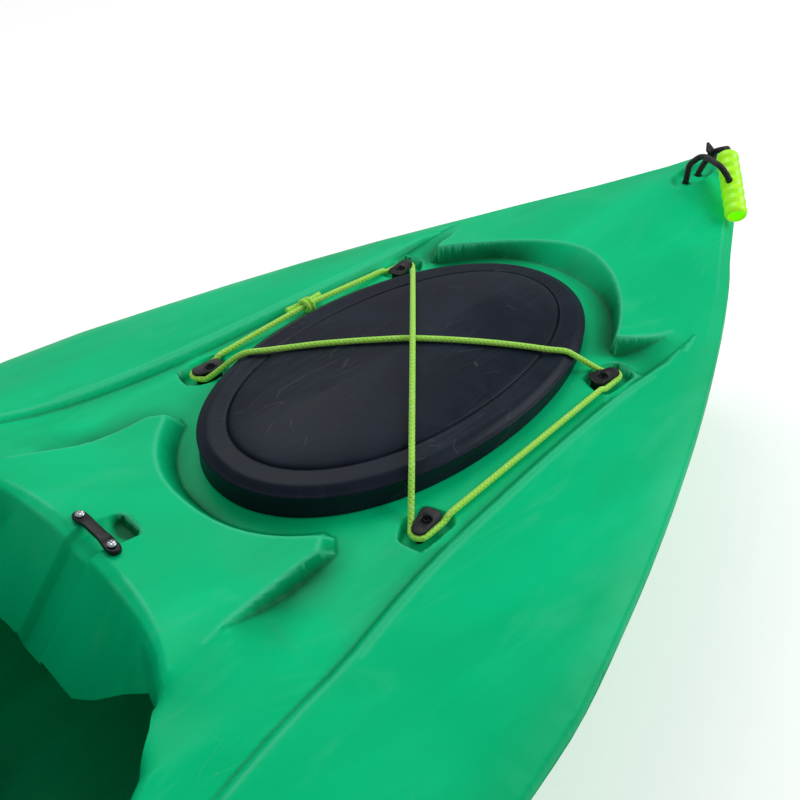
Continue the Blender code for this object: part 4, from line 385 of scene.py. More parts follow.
@dataclass(frozen=True)
class WovenFabric:
    """Heather-grey woven polyester of the cushions, with a weave on the object's coordinates."""

    def make(self, name: str) -> bpy.types.Material:
        """Builds the material; it reads the attribute seam, which is 1 in the sewn channels."""
        sheet = NodeSheet(name)
        place = sheet.add("ShaderNodeSeparateXYZ", inputs={0: sheet.place})
        warp = sheet.math("SINE", sheet.math("MULTIPLY", place.outputs[1], 2 * math.pi * 620))
        weft = sheet.math("ADD", place.outputs[0], place.outputs[2])
        weft = sheet.math("SINE", sheet.math("MULTIPLY", weft, 2 * math.pi * 620))
        weave = sheet.math("MULTIPLY", warp, weft)
        heather = sheet.noise(900.0, 3.0, 0.7)
        colour = sheet.mix(sheet.span(heather, 0.35, 0.7), tint("33373C"), tint("5A6067"))
        colour = sheet.mix(sheet.span(weave, -1.0, 1.0, 0.0, 0.35), colour, tint("24272B"))
        colour = sheet.mix(sheet.span(sheet.layer("seam"), 0.2, 1.0, 0.0, 0.8), colour, tint("17191C"))
        sheet.set(Base_Color=colour, Roughness=0.86, Sheen_Weight=0.35, Sheen_Roughness=0.5)
        sheet.bump(weave, 0.0004, 0.6)
        sheet.bump(heather, 0.0005, 0.3)
        return sheet.material


@dataclass(frozen=True)
class CellFoam:
    """Closed-cell foam with its skin and small cells."""

    def make(self, name: str) -> bpy.types.Material:
        """Builds the material."""
        sheet = NodeSheet(name)
        cells = sheet.cells(420.0)
        cloud = sheet.noise(18.0, 3.0)
        colour = sheet.mix(sheet.span(cloud, 0.3, 0.7), tint("C9CBCE"), tint("B2B5B9"))
        colour = sheet.mix(sheet.span(cells, 0.25, 0.0, 0.0, 0.4), colour, tint("8C9096"))
        sheet.set(Base_Color=colour, Roughness=0.85)
        sheet.bump(cells, 0.0006, 0.5)
        return sheet.material


class Slot(Enum):
    """The record's material slots."""

    SKIN = "green_polyethylene"
    LID = "charcoal_lid"
    NYLON = "black_nylon"
    RUBBER = "black_rubber"
    DARK_SCREW = "dark_screw"
    LIME = "lime_elastic_cord"
    STEEL = "stainless_steel"
    NEON = "neon_grip"
    CORD = "black_cord"
    PLASTIC = "black_plastic"
    CUSHION = "grey_cushion"
    FOAM = "grey_foam"


FINISHES = {
    Slot.SKIN: RotomouldedSkin(),
    Slot.LID: SatinPlastic("121A28", "202B3C", 0.38, 700.0, 0.00015, 0.16, 0.13),
    Slot.NYLON: SatinPlastic("101114", "1E2024", 0.36, 1200.0, 0.0001, 0.15),
    Slot.RUBBER: SatinPlastic("0C0C0E", "18191B", 0.70, 500.0, 0.0002, 0.05),
    Slot.DARK_SCREW: BrushedSteel("1C1E22", 0.34, "101114", 0.5),
    Slot.LIME: Braid("BEFF5C", "F2FFCC", "A4F84C", 3.0),
    Slot.STEEL: BrushedSteel(),
    Slot.NEON: NeonVinyl(),
    Slot.CORD: Braid("0B0C0F", "1B1D22", "040405", 4.0),
    Slot.PLASTIC: SatinPlastic("16181B", "25282D", 0.46, 800.0, 0.00025, 0.20),
    Slot.CUSHION: WovenFabric(),
    Slot.FOAM: CellFoam(),
}
MATERIALS: dict[Slot, bpy.types.Material] = {}


def made(slot: Slot) -> bpy.types.Material:
    """The material of a slot, made on its first use."""
    if slot not in MATERIALS:
        MATERIALS[slot] = FINISHES[slot].make(slot.value)
    return MATERIALS[slot]


def settle(piece: Piece, slot: Slot, body: str | None, nodes: Sequence[str] = ()) -> Piece:
    """Gives a finished piece its material, its body, if it has one alone, and the CAD nodes it stands for."""
    piece.data.materials.clear()
    piece.data.materials.append(made(slot))
    if body:
        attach(piece, body)
    if nodes:
        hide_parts(*nodes)
    LOG.info("%s: %d faces", piece.name, len(piece.data.polygons))
    return piece


def linked(name: str, data: bpy.types.ID) -> Piece:
    """Object of a mesh, lamp or camera, linked to the scene."""
    piece = bpy.data.objects.new(name, data)
    bpy.context.scene.collection.objects.link(piece)
    return piece


def weld(mesh: bpy.types.Mesh) -> None:
    """Merges double points and turns the normals outward."""
    bm = bmesh.new()
    bm.from_mesh(mesh)
    bmesh.ops.remove_doubles(bm, verts=bm.verts, dist=SAME_POINT)
    bmesh.ops.recalc_face_normals(bm, faces=bm.faces)
    bm.to_mesh(mesh)
    bm.free()


def circle(radius: float, sides: int) -> list[Spot]:
    """Points of a circle round the origin, counter-clockwise from +X."""
    return [(radius * math.cos(2 * math.pi * k / sides), radius * math.sin(2 * math.pi * k / sides))
            for k in range(sides)]


def mesh_piece(name: str, points: Iterable[Sequence[float]], faces: Iterable[Sequence[int]],
               smooth_angle: float = 40.0) -> Piece:
    """Object from points and faces, with its normals made outward.

    Args:
        name: The piece's name.
        points: Its points in the frame.
        faces: Point numbers of each face.
        smooth_angle: Degrees above which an edge stays sharp.

    Returns:
        The linked object.
    """
    mesh = bpy.data.meshes.new(name)
    mesh.from_pydata([tuple(p) for p in points], [], [tuple(f) for f in faces])
    weld(mesh)
    piece = linked(name, mesh)
    Bench.smooth(piece, smooth_angle)
    return piece


def ring_loft(name: str, rings: Sequence[Sequence[Point]], loop: bool = False,
              smooth_angle: float = 40.0) -> Piece:
    """Closed body through rings of equal count; loop joins the last ring to the first."""
    count = len(rings[0])
    points = [p for ring in rings for p in ring]
    faces = []
    rows = list(range(len(rings)))
    pairs = list(zip(rows, rows[1:])) + ([(rows[-1], 0)] if loop else [])
    faces += [(low * count + i, low * count + (i + 1) % count, high * count + (i + 1) % count, high * count + i)
              for low, high in pairs for i in range(count)]
    if not loop:
        faces.append(tuple(reversed(range(count))))
        faces.append(tuple(range((len(rings) - 1) * count, len(rings) * count)))
    return mesh_piece(name, points, faces, smooth_angle)


class Bench:
    """Modelling by operators: one primitive at a time, shaped in edit mode."""

    @staticmethod
    def clear() -> None:
        """Leaves edit mode and deselects everything."""
        if bpy.context.object and bpy.context.object.mode != "OBJECT":
            bpy.ops.object.mode_set(mode="OBJECT")
        bpy.ops.object.select_all(action="DESELECT")

    @staticmethod
    def pick(piece: Piece) -> None:
        """Makes one piece the only selected and active one."""
        Bench.clear()
        piece.select_set(True)
        bpy.context.view_layer.objects.active = piece

    @staticmethod
    def smooth(piece: Piece, angle: float = 40.0) -> None:
        """Shades a piece smooth, with edges above an angle kept sharp."""
        Bench.pick(piece)
        bpy.ops.object.shade_smooth_by_angle(angle=math.radians(angle))
        Bench.clear()

    @staticmethod
    def outline(name: str, points: Plan, height: float = 0.0) -> Piece:
        """A filled circle whose points are moved onto an outline, left in edit mode with its face selected.

        Args:
            name: The piece's name.
            points: Outline in plan, in order.
            height: Height of the face.

        Returns:
            The piece.
        """
        Bench.clear()
        bpy.ops.mesh.primitive_circle_add(vertices=len(points), radius=1.0, fill_type="NGON", location=(0, 0, 0))
        piece = bpy.context.object
        piece.name = piece.data.name = name
        for vertex, (x, y) in zip(piece.data.vertices, points):
            vertex.co = (x, y, height)
        bpy.ops.object.mode_set(mode="EDIT")
        bpy.ops.mesh.select_all(action="SELECT")
        bpy.ops.mesh.select_mode(type="FACE")
        return piece

    @staticmethod
    def rise(height: float) -> None:
        """Extrudes the selected face straight up or down."""
        bpy.ops.mesh.extrude_region_move(TRANSFORM_OT_translate={"value": (0, 0, height)})

    @staticmethod
    def step(inward: float, up: float) -> None:
        """Insets the selected face and shifts it along its normal."""
        bpy.ops.mesh.inset(thickness=inward, depth=up, use_even_offset=True)

    @staticmethod
    def choose(piece: Piece, test: Callable[[bmesh.types.BMFace], bool]) -> None:
        """Makes the normals look outward and selects only the faces that pass a test."""
        bpy.ops.mesh.select_all(action="SELECT")
        bpy.ops.mesh.normals_make_consistent(inside=False)
        bpy.ops.mesh.select_all(action="DESELECT")
        bm = bmesh.from_edit_mesh(piece.data)
        for face in bm.faces:
            face.select = test(face)
        bm.select_flush_mode()
        bmesh.update_edit_mesh(piece.data)

    @staticmethod
    def widen(factor: float) -> None:
        """Scales the selection in plan about the origin."""
        bpy.ops.transform.resize(value=(factor, factor, 1.0), center_override=(0, 0, 0))

    @staticmethod
    def close(piece: Piece, matrix: Matrix | None = None, bevel: float = 0.0, segments: int = 3,
              angle: float = 30.0) -> Piece:
        """Leaves edit mode, rounds the sharp edges, and puts the piece's place into its mesh."""
        bpy.ops.object.mode_set(mode="OBJECT")
        weld(piece.data)
        if bevel:
            Bench.modify(piece, "BEVEL", width=bevel, segments=segments, limit_method="ANGLE",
                         angle_limit=math.radians(angle), harden_normals=False)
        if matrix is not None:
            piece.data.transform(matrix)
        Bench.smooth(piece, 35.0)
        return piece

    @staticmethod
    def modify(piece: Piece, kind: str, **settings: object) -> None:
        """Adds a modifier with its settings and applies it."""
        Bench.pick(piece)
        modifier = piece.modifiers.new(kind.lower(), kind)
        for key, value in settings.items():
            setattr(modifier, key, value)
        bpy.ops.object.modifier_apply(modifier=modifier.name)

    @staticmethod
    def cut(piece: Piece, tool: Piece, how: str = "DIFFERENCE") -> None:
        """Cuts a piece with another, or joins them, and removes the tool."""
        Bench.modify(piece, "BOOLEAN", operation=how, object=tool, solver="EXACT")
        bpy.data.objects.remove(tool)

    @staticmethod
    def rod(radius: float, depth: float, matrix: Matrix, sides: int = 32) -> Piece:
        """A plain rod for cutting."""
        Bench.clear()
        bpy.ops.mesh.primitive_cylinder_add(vertices=sides, radius=radius, depth=depth, location=(0, 0, 0))
        rod = bpy.context.object
        rod.data.transform(matrix)
        return rod

    @staticmethod
    def mesh_of(piece: Piece) -> bpy.types.Mesh:
        """Removes a pattern's object and hands back its mesh."""
        mesh = piece.data
        bpy.data.objects.remove(piece)
        return mesh

    @staticmethod
    def place(mesh: bpy.types.Mesh, name: str, matrix: Matrix) -> Piece:
        """A copy of a pattern's mesh as a piece of its own, put in its place."""
        copy = mesh.copy()
        copy.name = name
        copy.transform(matrix)
        return linked(name, copy)

    @staticmethod
    def block(matrix: Matrix) -> Piece:
        """A cube of edge 1, stretched and placed by a matrix, for cutting or joining."""
        Bench.clear()
        bpy.ops.mesh.primitive_cube_add(size=1.0, location=(0, 0, 0))
        block = bpy.context.object
        block.data.transform(matrix)
        return block

    @staticmethod
    def remesh(piece: Piece, voxel: float) -> None:
        """Gives a closed form an even net."""
        Bench.pick(piece)
        piece.data.remesh_voxel_size = voxel
        bpy.ops.object.voxel_remesh()

    @staticmethod
    def turned(name: str, profile: Plan, sides: int, matrix: Matrix) -> Piece:
        """A turned piece: a disc extruded and resized through a profile of (radius, height), bottom first."""
        radius, height = profile[0]
        piece = Bench.outline(name, circle(radius, sides), height)
        for wide, high in profile[1:]:
            Bench.rise(high - height)
            Bench.widen(wide / radius)
            radius, height = wide, high
        return Bench.close(piece, matrix)


def running(path: Sequence[Vector]) -> list[float]:
    """Length of a path from its start to each of its points."""
    run = [0.0]
    for a, b in zip(path, path[1:]):
        run.append(run[-1] + (b - a).length)
    return run


def swept(name: str, points: Sequence[Point], radius: float, sides: int = 14, closed: bool = False,
          pitch: float = 0.0022) -> Piece:
    """Round cord along a smooth curve, with a UV map round and along it.

    Args:
        name: The piece's name.
        points: Knots of its middle line.
        radius: Half its thickness.
        sides: Points round it.
        closed: True for an endless loop.
        pitch: Distance between its rings.

    Returns:
        The piece.
    """
    path = curve_points(points, pitch, closed)
    count = len(path)
    heading = [(path[(i + 1) % count] - path[i - 1]) if closed
               else (path[min(i + 1, count - 1)] - path[max(i - 1, 0)]) for i in range(count)]
    heading = [h.normalized() for h in heading]
    side = heading[0].orthogonal().normalized()
    sides_of: list[Vector] = []
    for i in range(count):
        if i:
            side = heading[i - 1].rotation_difference(heading[i]) @ side
        side = (side - heading[i] * side.dot(heading[i])).normalized()
        sides_of.append(side.copy())
    twist = 0.0
    if closed:
        last = heading[-1].rotation_difference(heading[0]) @ sides_of[-1]
        twist = math.atan2(last.cross(sides_of[0]).dot(heading[0]), last.dot(sides_of[0]))
    verts, faces, uvs = [], [], []
    run = running(path)
    for i in range(count):
        turn = Matrix.Rotation(twist * i / count, 3, heading[i])
        u = turn @ sides_of[i]
        w = heading[i].cross(u)
        for k in range(sides):
            a = 2 * math.pi * k / sides
            verts.append(path[i] + (u * math.cos(a) + w * math.sin(a)) * radius)
    bays = count if closed else count - 1
    for i in range(bays):
        n = (i + 1) % count
        v0, v1 = run[i] / (2 * radius), (run[i] + (path[n] - path[i]).length) / (2 * radius)
        for k in range(sides):
            m = (k + 1) % sides
            faces.append((i * sides + k, i * sides + m, n * sides + m, n * sides + k))
            uvs.append(((k / sides, v0), ((k + 1) / sides, v0), ((k + 1) / sides, v1), (k / sides, v1)))
    if not closed:
        for i, sense in ((0, -1), (count - 1, 1)):
            ring = [i * sides + k for k in range(sides)]
            centre = len(verts)
            verts.append(path[i] + heading[i] * sense * radius * 0.35)
            for k in range(sides):
                m = (k + 1) % sides
                faces.append((centre, ring[m], ring[k]) if sense < 0 else (centre, ring[k], ring[m]))
                uvs.append(((0.5, run[i] / (2 * radius)),) * 3)
    mesh = bpy.data.meshes.new(name)
    mesh.from_pydata([tuple(v) for v in verts], [], faces)
    layer = mesh.uv_layers.new(name="UVMap")
    flat = [c for face in uvs for pair in face for c in pair]
    layer.data.foreach_set("uv", flat)
    piece = linked(name, mesh)
    Bench.smooth(piece, 60.0)
    return piece


def curve_points(knots: Sequence[Point], pitch: float, closed: bool = False) -> list[Vector]:
    """Evenly spaced points on the Catmull-Rom curve through the knots."""
    given = [Vector(p) for p in knots]
    count = len(given)
    dense = []
    for i in range(count if closed else count - 1):
        if closed:
            a, b, c, d = (given[(i + k) % count] for k in (-1, 0, 1, 2))
        else:
            a, b, c, d = (given[min(max(i + k, 0), count - 1)] for k in (-1, 0, 1, 2))
        parts = max(2, int((c - b).length / pitch * 3))
        grip = min(1.0, 3.0 * (c - b).length / max((c - a).length, (d - b).length, 1e-6))
        m0, m1 = (c - a) * 0.5 * grip, (d - b) * 0.5 * grip
        for k in range(parts):
            t = k / parts
            dense.append(b * (2 * t**3 - 3 * t**2 + 1) + m0 * (t**3 - 2 * t**2 + t)
                         + c * (3 * t**2 - 2 * t**3) + m1 * (t**3 - t**2))
    dense.append(given[0].copy() if closed else given[-1].copy())
    run = running(dense)
    steps = max(3, round(run[-1] / pitch))
    spots = np.interp(np.linspace(0, run[-1], steps + 1), run, np.arange(len(run)))
    out = []
    for spot in spots:
        i = min(int(spot), len(dense) - 2)
        out.append(dense[i].lerp(dense[i + 1], spot - i))
    return out[:-1] if closed else out


@dataclass
class Studio:
    """Camera of the photograph, soft lamps, white surroundings and a pale floor."""

    place: Point = (-0.26445, 0.58667, 0.92650)
    azimuth: float = 45.3
    elevation: float = 38.76
    roll: float = 0.44
    lens: float = 46.757
    key: float = 26.0
    fill: float = 46.0
    sky: float = 0.39

    def camera(self) -> None:
        """Places the scene's camera."""
        az, el, roll = (math.radians(v) for v in (self.azimuth, self.elevation, self.roll))
        ahead = Vector((-math.sin(az) * math.cos(el), -math.cos(az) * math.cos(el), -math.sin(el)))
        right = ahead.cross(Vector((0, 0, 1))).normalized()
        up = right.cross(ahead)
        side = right * math.cos(roll) + up * math.sin(roll)
        top = up * math.cos(roll) - right * math.sin(roll)
        data = bpy.data.cameras.new("photograph")
        data.lens = self.lens
        data.sensor_width = 36.0
        data.clip_start = 0.02
        camera = linked("photograph", data)
        camera.matrix_world = Matrix.Translation(self.place) @ Matrix((side, top, -ahead)).transposed().to_4x4()
        bpy.context.scene.camera = camera

    def lamp(self, name: str, place: Point, aim: Point, power: float, size: float) -> None:
        """Adds a soft square lamp."""
        data = bpy.data.lights.new(name, "AREA")
        data.energy = power
        data.size = size
        lamp = linked(name, data)
        lamp.location = place
        lamp.rotation_euler = (Vector(aim) - Vector(place)).to_track_quat("-Z", "Y").to_euler()

    def surroundings(self) -> None:
        """White to the camera and in reflections, softer as a light."""
        world = bpy.data.worlds.new("surroundings")
        bpy.context.scene.world = world
        world.use_nodes = True
        tree = world.node_tree
        ground = tree.nodes["Background"]
        ground.inputs["Color"].default_value = WHITE
        path = tree.nodes.new("ShaderNodeLightPath")
        seen = tree.nodes.new("ShaderNodeMath")
        seen.operation = "MAXIMUM"
        tree.links.new(path.outputs["Is Camera Ray"], seen.inputs[0])
        tree.links.new(path.outputs["Is Transmission Ray"], seen.inputs[1])
        level = tree.nodes.new("ShaderNodeMapRange")
        level.inputs["To Min"].default_value = self.sky
        level.inputs["To Max"].default_value = 1.0
        tree.links.new(seen.outputs[0], level.inputs["Value"])
        tree.links.new(level.outputs["Result"], ground.inputs["Strength"])

    def floor(self) -> None:
        """Pale floor that keeps the object's shadow."""
        Bench.clear()
        bpy.ops.mesh.primitive_plane_add(size=24.0, location=(0, 0, -0.0005))
        floor = bpy.context.object
        floor.name = "floor"
        sheet = NodeSheet("pale_floor")
        path = sheet.add("ShaderNodeLightPath")
        far = sheet.add("ShaderNodeVectorMath", {"operation": "LENGTH"}, {0: sheet.place}).outputs["Value"]
        away = sheet.span(far, 1.6, 4.5)
        sheet.set(Base_Color=sheet.mix(away, (0.88, 0.88, 0.88, 1), BLACK), Roughness=0.9,
                  Specular_IOR_Level=0.0, Emission_Color=WHITE,
                  Emission_Strength=sheet.math("MULTIPLY", path.outputs["Is Camera Ray"],
                                               sheet.span(away, 0.0, 1.0, 0.36, 1.0)))
        floor.data.materials.append(sheet.material)

    def build(self) -> None:
        """Sets the stage."""
        self.camera()
        self.lamp("key", (-1.6, -1.5, 2.7), (-0.9, 0.0, 0.3), self.key, 1.8)
        self.lamp("fill", (-3.4, 1.7, 2.2), (-0.8, 0.0, 0.3), self.fill, 1.6)
        self.surroundings()
        self.floor()
        bpy.context.scene.view_settings.view_transform = "Standard"


@dataclass
class DeckSkin:
    """The deck moulding: a fine net over the solid's top, with its feature lines rounded, given its wall."""

    wall: float = 0.004
    fine_end: float = -0.40
    pitch: float = 0.0062
    edge_pitch: float = 0.0024
    edge_band: float = 0.0050
    fore_pitch: float = 0.020
    line_pitch: float = 0.0030
    fore_line_pitch: float = 0.012
    crease: float = math.radians(16)
    steepest: float = 0.05
    line_passes: int = 8
    flat_passes: int = 110
    run_out_passes: int = 600
    round_passes: int = 1
    spread_passes: int = 8
    rim_band: float = 0.022
    slot_half: float = 0.045

    def top(self) -> bmesh.types.BMesh:
        """The solid's upper skin alone."""
        bm = bmesh.new()
        bm.from_mesh(frame["nodes"]["deck_shell"].data)
        bmesh.ops.remove_doubles(bm, verts=bm.verts, dist=1e-5)
        low = [f for f in bm.faces if f.normal.z <= self.steepest]
        bmesh.ops.delete(bm, geom=low, context="FACES")
        loose = [v for v in bm.verts if not v.link_faces]
        bmesh.ops.delete(bm, geom=loose, context="VERTS")
        bm.verts.ensure_lookup_table()
        return bm

    def lines(self, bm: bmesh.types.BMesh) -> tuple[list, list, list, list]:
        """Openings' edges and feature lines, cut into short steps.

        Returns:
            The points, the steps between them, whether each point is on an opening, and how sharp a crease
            it is on: above 0 where the deck stands out, below 0 where it is hollow, 0 off the creases.
        """
        points, steps, rim, sharp = [], [], [], []
        number: dict[int, int] = {}

        def put(place: Vector, at_rim: bool, bend: float) -> int:
            points.append(tuple(place))
            rim.append(at_rim)
            sharp.append(bend)
            return len(points) - 1

        for edge in bm.edges:
            border = edge.is_boundary
            if not border and edge.calc_face_angle() < self.crease:
                continue
            ends = []
            bend = 0.0 if border else max(-1.0, min(1.0, edge.calc_face_angle_signed() / 0.7))
            for vertex in edge.verts:
                if vertex.index not in number:
                    number[vertex.index] = put(vertex.co, False, 0.0)
                n = number[vertex.index]
                rim[n] = rim[n] or border
                sharp[n] = max(sharp[n], bend, key=abs)
                ends.append(n)
            a, b = (v.co for v in edge.verts)
            pitch = self.line_pitch if min(a.x, b.x) < self.fine_end else self.fore_line_pitch
            parts = max(1, math.ceil((b - a).length / pitch))
            chain = [ends[0]] + [put(a.lerp(b, k / parts), border, bend) for k in range(1, parts)] + [ends[1]]
            steps += list(zip(chain, chain[1:]))
        return points, steps, rim, sharp

    def fill(self, tree: BVHTree, points: list, rim: list, sharp: list) -> list[Point]:
        """Points between the lines: a coarse net, and a fine one along creases near the hatch."""
        near_line, near_crease = KDTree(len(points)), KDTree(max(1, sum(map(bool, sharp))))
        for n, p in enumerate(points):
            near_line.insert((p[0], p[1], 0), n)
            if sharp[n]:
                near_crease.insert((p[0], p[1], 0), n)
        near_line.balance()
        near_crease.balance()
        found = []

        def net(pitch: float, low: float, high: float, band: Callable[[float], bool], clear: float) -> None:
            rows = int(0.8 / (pitch * 0.866))
            for row in range(rows):
                y = -0.4 + row * pitch * 0.866
                for column in range(int((high - low) / pitch)):
                    x = low + (column + 0.5 * (row % 2)) * pitch
                    spot = (x, y, 0)
                    if near_line.find(spot)[2] < clear or not band(near_crease.find(spot)[2]):
                        continue
                    hit = tree.ray_cast(Vector((x, y, 1.0)), Vector((0, 0, -1)))[0]
                    if hit is not None:
                        found.append((x, y, hit.z))

        net(self.edge_pitch, STERN_X, self.fine_end, lambda d: d <= self.edge_band, 0.45 * self.edge_pitch)
        net(self.pitch, STERN_X, self.fine_end, lambda d: d > self.edge_band, 0.55 * self.pitch)
        net(self.fore_pitch, self.fine_end, -STERN_X, lambda d: True, 0.5 * self.fore_pitch)
        return found

    def net(self) -> tuple[Array, Array, Array, Array, Array]:
        """Triangulates the lines and the fill.

        Returns:
            Points, triangles, which points are on openings, the creases' sharpness, and the lines' steps.
        """
        bm = self.top()
        tree = BVHTree.FromBMesh(bm)
        points, steps, rim, sharp = self.lines(bm)
        extra = self.fill(tree, points, rim, sharp)
        everything = points + extra
        result = delaunay_2d_cdt([Vector(p[:2]) for p in everything], steps, [], 0, 1e-7)
        plan, triangles, origins = result[0], result[2], result[3]
        heights, on_rim, on_crease = [], [], []
        for spot, origin in zip(plan, origins):
            known = [o for o in origin if o < len(points)]
            if origin:
                heights.append(everything[(known or origin)[0]][2])
            else:
                hit = tree.ray_cast(Vector((spot.x, spot.y, 1.0)), Vector((0, 0, -1)))[0]
                heights.append(hit.z if hit else 0.25)
            on_rim.append(any(rim[o] for o in known))
            on_crease.append(max((sharp[o] for o in known), key=abs, default=0.0))
        kept = []
        for tri in triangles:
            mid = sum((plan[i] for i in tri), Vector((0, 0))) / len(tri)
            if tree.ray_cast(Vector((mid.x, mid.y, 1.0)), Vector((0, 0, -1)))[0] is not None:
                kept.append(tri if len(tri) == 3 else tri[:3])
        bm.free()
        spots = np.array([(p.x, p.y, z) for p, z in zip(plan, heights)])
        along = [edge for edge, source in zip(result[1], result[4]) if source]
        return spots, np.array(kept), np.array(on_rim), np.array(on_crease), np.array(along)

    @staticmethod
    def relax(spots: Array, edges: Array, free: Array, passes: int, pull: float,
              axes: tuple[int, ...], keep: bool) -> Array:
        """Draws each free point to the mean of its neighbours, the near ones more.

        Args:
            spots: The points.
            edges: Pairs of neighbours.
            free: Share of the pull for each point.
            passes: How often.
            pull: Share of the way per pass.
            axes: Which of x, y and z may move.
            keep: Let a slightly larger step back follow each pass, which keeps the large shape.

        Returns:
            The moved points.
        """
        spots = spots.copy()
        a, b = edges[:, 0], edges[:, 1]
        near = 1.0 / np.maximum(np.linalg.norm(spots[a] - spots[b], axis=1), 1e-5)
        total = np.bincount(a, near, len(spots)) + np.bincount(b, near, len(spots))
        for _ in range(passes):
            for share in ((pull, -pull * 1.03) if keep else (pull,)):
                for axis in axes:
                    value = spots[:, axis]
                    mean = (np.bincount(a, near * value[b], len(spots))
                            + np.bincount(b, near * value[a], len(spots))) / np.maximum(total, 1e-9)
                    spots[:, axis] = value + share * free * (mean - value)
        return spots

    @staticmethod
    def uprightness(spots: Array, triangles: Array) -> Array:
        """How far up each point's normal looks, 1 on level parts."""
        a, b, c = (spots[triangles[:, k]] for k in range(3))
        across = np.cross(b - a, c - a)
        across *= np.sign(across[:, 2])[:, None]
        normals = np.stack([sum(np.bincount(triangles[:, k], across[:, axis], len(spots)) for k in range(3))
                            for axis in range(3)], axis=1)
        return normals[:, 2] / np.maximum(np.linalg.norm(normals, axis=1), 1e-12)

    @staticmethod
    def shelter(spots: Array, triangles: Array, share: Array) -> Array:
        """Share of the low sky that the deck itself hides from each point, where it is asked for."""
        tree = BVHTree.FromPolygons(spots.tolist(), triangles.tolist())
        low, steep = ((math.cos(a), math.sin(a)) for a in (math.radians(16), math.radians(42)))
        rays = [Vector((math.cos(turn) * flat, math.sin(turn) * flat, up)) for flat, up in (low, steep)
                for turn in (2 * math.pi * k / 10 for k in range(10))]
        hidden = np.zeros(len(spots))
        for n in np.flatnonzero(share):
            start = Vector(spots[n]) + Vector((0, 0, 0.0012))
            blocked = sum(tree.ray_cast(start, ray, 0.045)[0] is not None for ray in rays)
            hidden[n] = share[n] * blocked / len(rays)
        return hidden

    @staticmethod
    def spread(values: Array, edges: Array, passes: int) -> Array:
        """Evens out one value per point over its neighbours."""
        a, b = edges[:, 0], edges[:, 1]
        count = np.maximum(np.bincount(edges.ravel(), minlength=len(values)), 1)
        for _ in range(passes):
            around = np.bincount(a, values[b], len(values)) + np.bincount(b, values[a], len(values))
            values = 0.5 * (values + around / count)
        return values

    @staticmethod
    def apart(spots: Array, bends: Array) -> tuple[Array, Array]:
        """Distance of each point from the nearest crease, and that crease's sharpness."""
        lines = KDTree(int((bends != 0).sum()))
        for n in np.flatnonzero(bends):
            lines.insert(tuple(spots[n]), int(n))
        lines.balance()
        found = [lines.find(tuple(p)) for p in spots]
        return np.array([f[2] for f in found]), np.array([bends[f[1]] for f in found])

    @staticmethod
    def run_out(spots: Array) -> Array:
        """Share by which each point lies where the hatch floor runs out smoothly into the side decks."""
        share = np.zeros(len(spots))
        for n, (x, y, _) in enumerate(spots):
            ahead, out = x - HATCH_X, abs(y)
            if 0.25 < ahead < 0.47 and 0.13 < out < 0.225:
                share[n] = (ramp(ahead, 0.262, 0.285) * (1 - ramp(ahead, 0.38, 0.46)) * ramp(out, 0.150, 0.163)
                            * (1 - ramp(out, 0.187, 0.206)))
        return share

    def joined(self) -> tuple[Array, Array, Array, Array, Array]:
        """The net without its loose points, numbered anew, with its lines evened out along themselves."""
        spots, triangles, rim, bends, along = self.net()
        used = np.unique(triangles)
        renumber = np.full(len(spots), -1)
        renumber[used] = np.arange(len(used))
        spots, rim, bends, triangles = spots[used], rim[used], bends[used], renumber[triangles]
        along = renumber[along]
        along = along[(along >= 0).all(axis=1)]
        meeting = np.bincount(along.ravel(), minlength=len(spots))
        inner = np.where((meeting == 2) & ~rim, 1.0, 0.0)
        spots = self.relax(spots, along, inner, self.line_passes, 0.6, (0, 1, 2), True)
        edges = np.sort(np.vstack([triangles[:, [0, 1]], triangles[:, [1, 2]], triangles[:, [2, 0]]]), axis=1)
        return spots, triangles, rim, bends, np.unique(edges, axis=0)

    def dressed(self, spots: Array) -> Array:
        """Share by which a point may take painted highlight and painted shade: aft of the cockpit, and off the
        cockpit's own wall.
        """
        aft = np.clip((self.fine_end - 0.01 - spots[:, 0]) / 0.05, 0, 1)
        return aft * np.where(np.abs(spots[:, 1]) < 0.17, np.clip((-0.486 - spots[:, 0]) / 0.008, 0, 1), 1.0)

    def build(self) -> None:
        """Makes the skin with its attributes crest and hollow, which carry painted highlight and painted shade.
        """
        spots, triangles, rim, bends, edges = self.joined()
        share = self.run_out(spots)
        ahead, out = spots[:, 0] - HATCH_X, np.abs(spots[:, 1])
        bends[(share > 0.3) | ((np.abs(ahead - 0.301) < 0.005) & (np.abs(out - 0.1755) < 0.0375))] = 0.0
        far, bend = self.apart(spots, bends)
        level = np.clip((self.uprightness(spots, triangles) - 0.82) / 0.12, 0, 1)
        flat = np.where(rim | (bends != 0), 0.0, level * np.clip((far - 0.0035) / 0.0105, 0, 1))
        spots = self.relax(spots, edges, flat, self.flat_passes, 0.6, (2,), True)
        inside = edges[(share[edges] > 0).any(axis=1)]
        spots = self.relax(spots, inside, share, self.run_out_passes, 0.9, (2,), False)
        spots = self.relax(spots, edges, np.where(rim, 0.0, 1.0), self.round_passes, 0.5, (0, 1, 2), False)
        from_rim, _ = self.apart(spots, rim.astype(float))
        aft = self.dressed(spots) * np.clip((from_rim - self.rim_band) / 0.010, 0, 1)
        # crest: painted highlight on raised creases and painted shade on sunken ones, close to each crease
        crest = aft * bend * (1 - np.clip((far - 0.0006) / 0.0028, 0, 1))
        slot = (np.abs(spots[:, 1]) < self.slot_half) & (spots[:, 0] > -0.57)
        # hollow: painted shade from the low sky that the deck hides, stronger in the trough under the strap bar
        hollow = self.spread(self.shelter(spots, triangles, aft * np.where(slot, 2.4, 1.1)), edges,
                             self.spread_passes)
        mesh = bpy.data.meshes.new("deck_skin")
        mesh.from_pydata(spots.tolist(), [], triangles.tolist())
        mesh.update()
        if sum(face.normal.z for face in mesh.polygons) < 0:
            mesh.flip_normals()
        for name, values in (("crest", crest), ("hollow", hollow)):
            mesh.attributes.new(name, "FLOAT", "POINT").data.foreach_set("value", values.astype(np.float32))
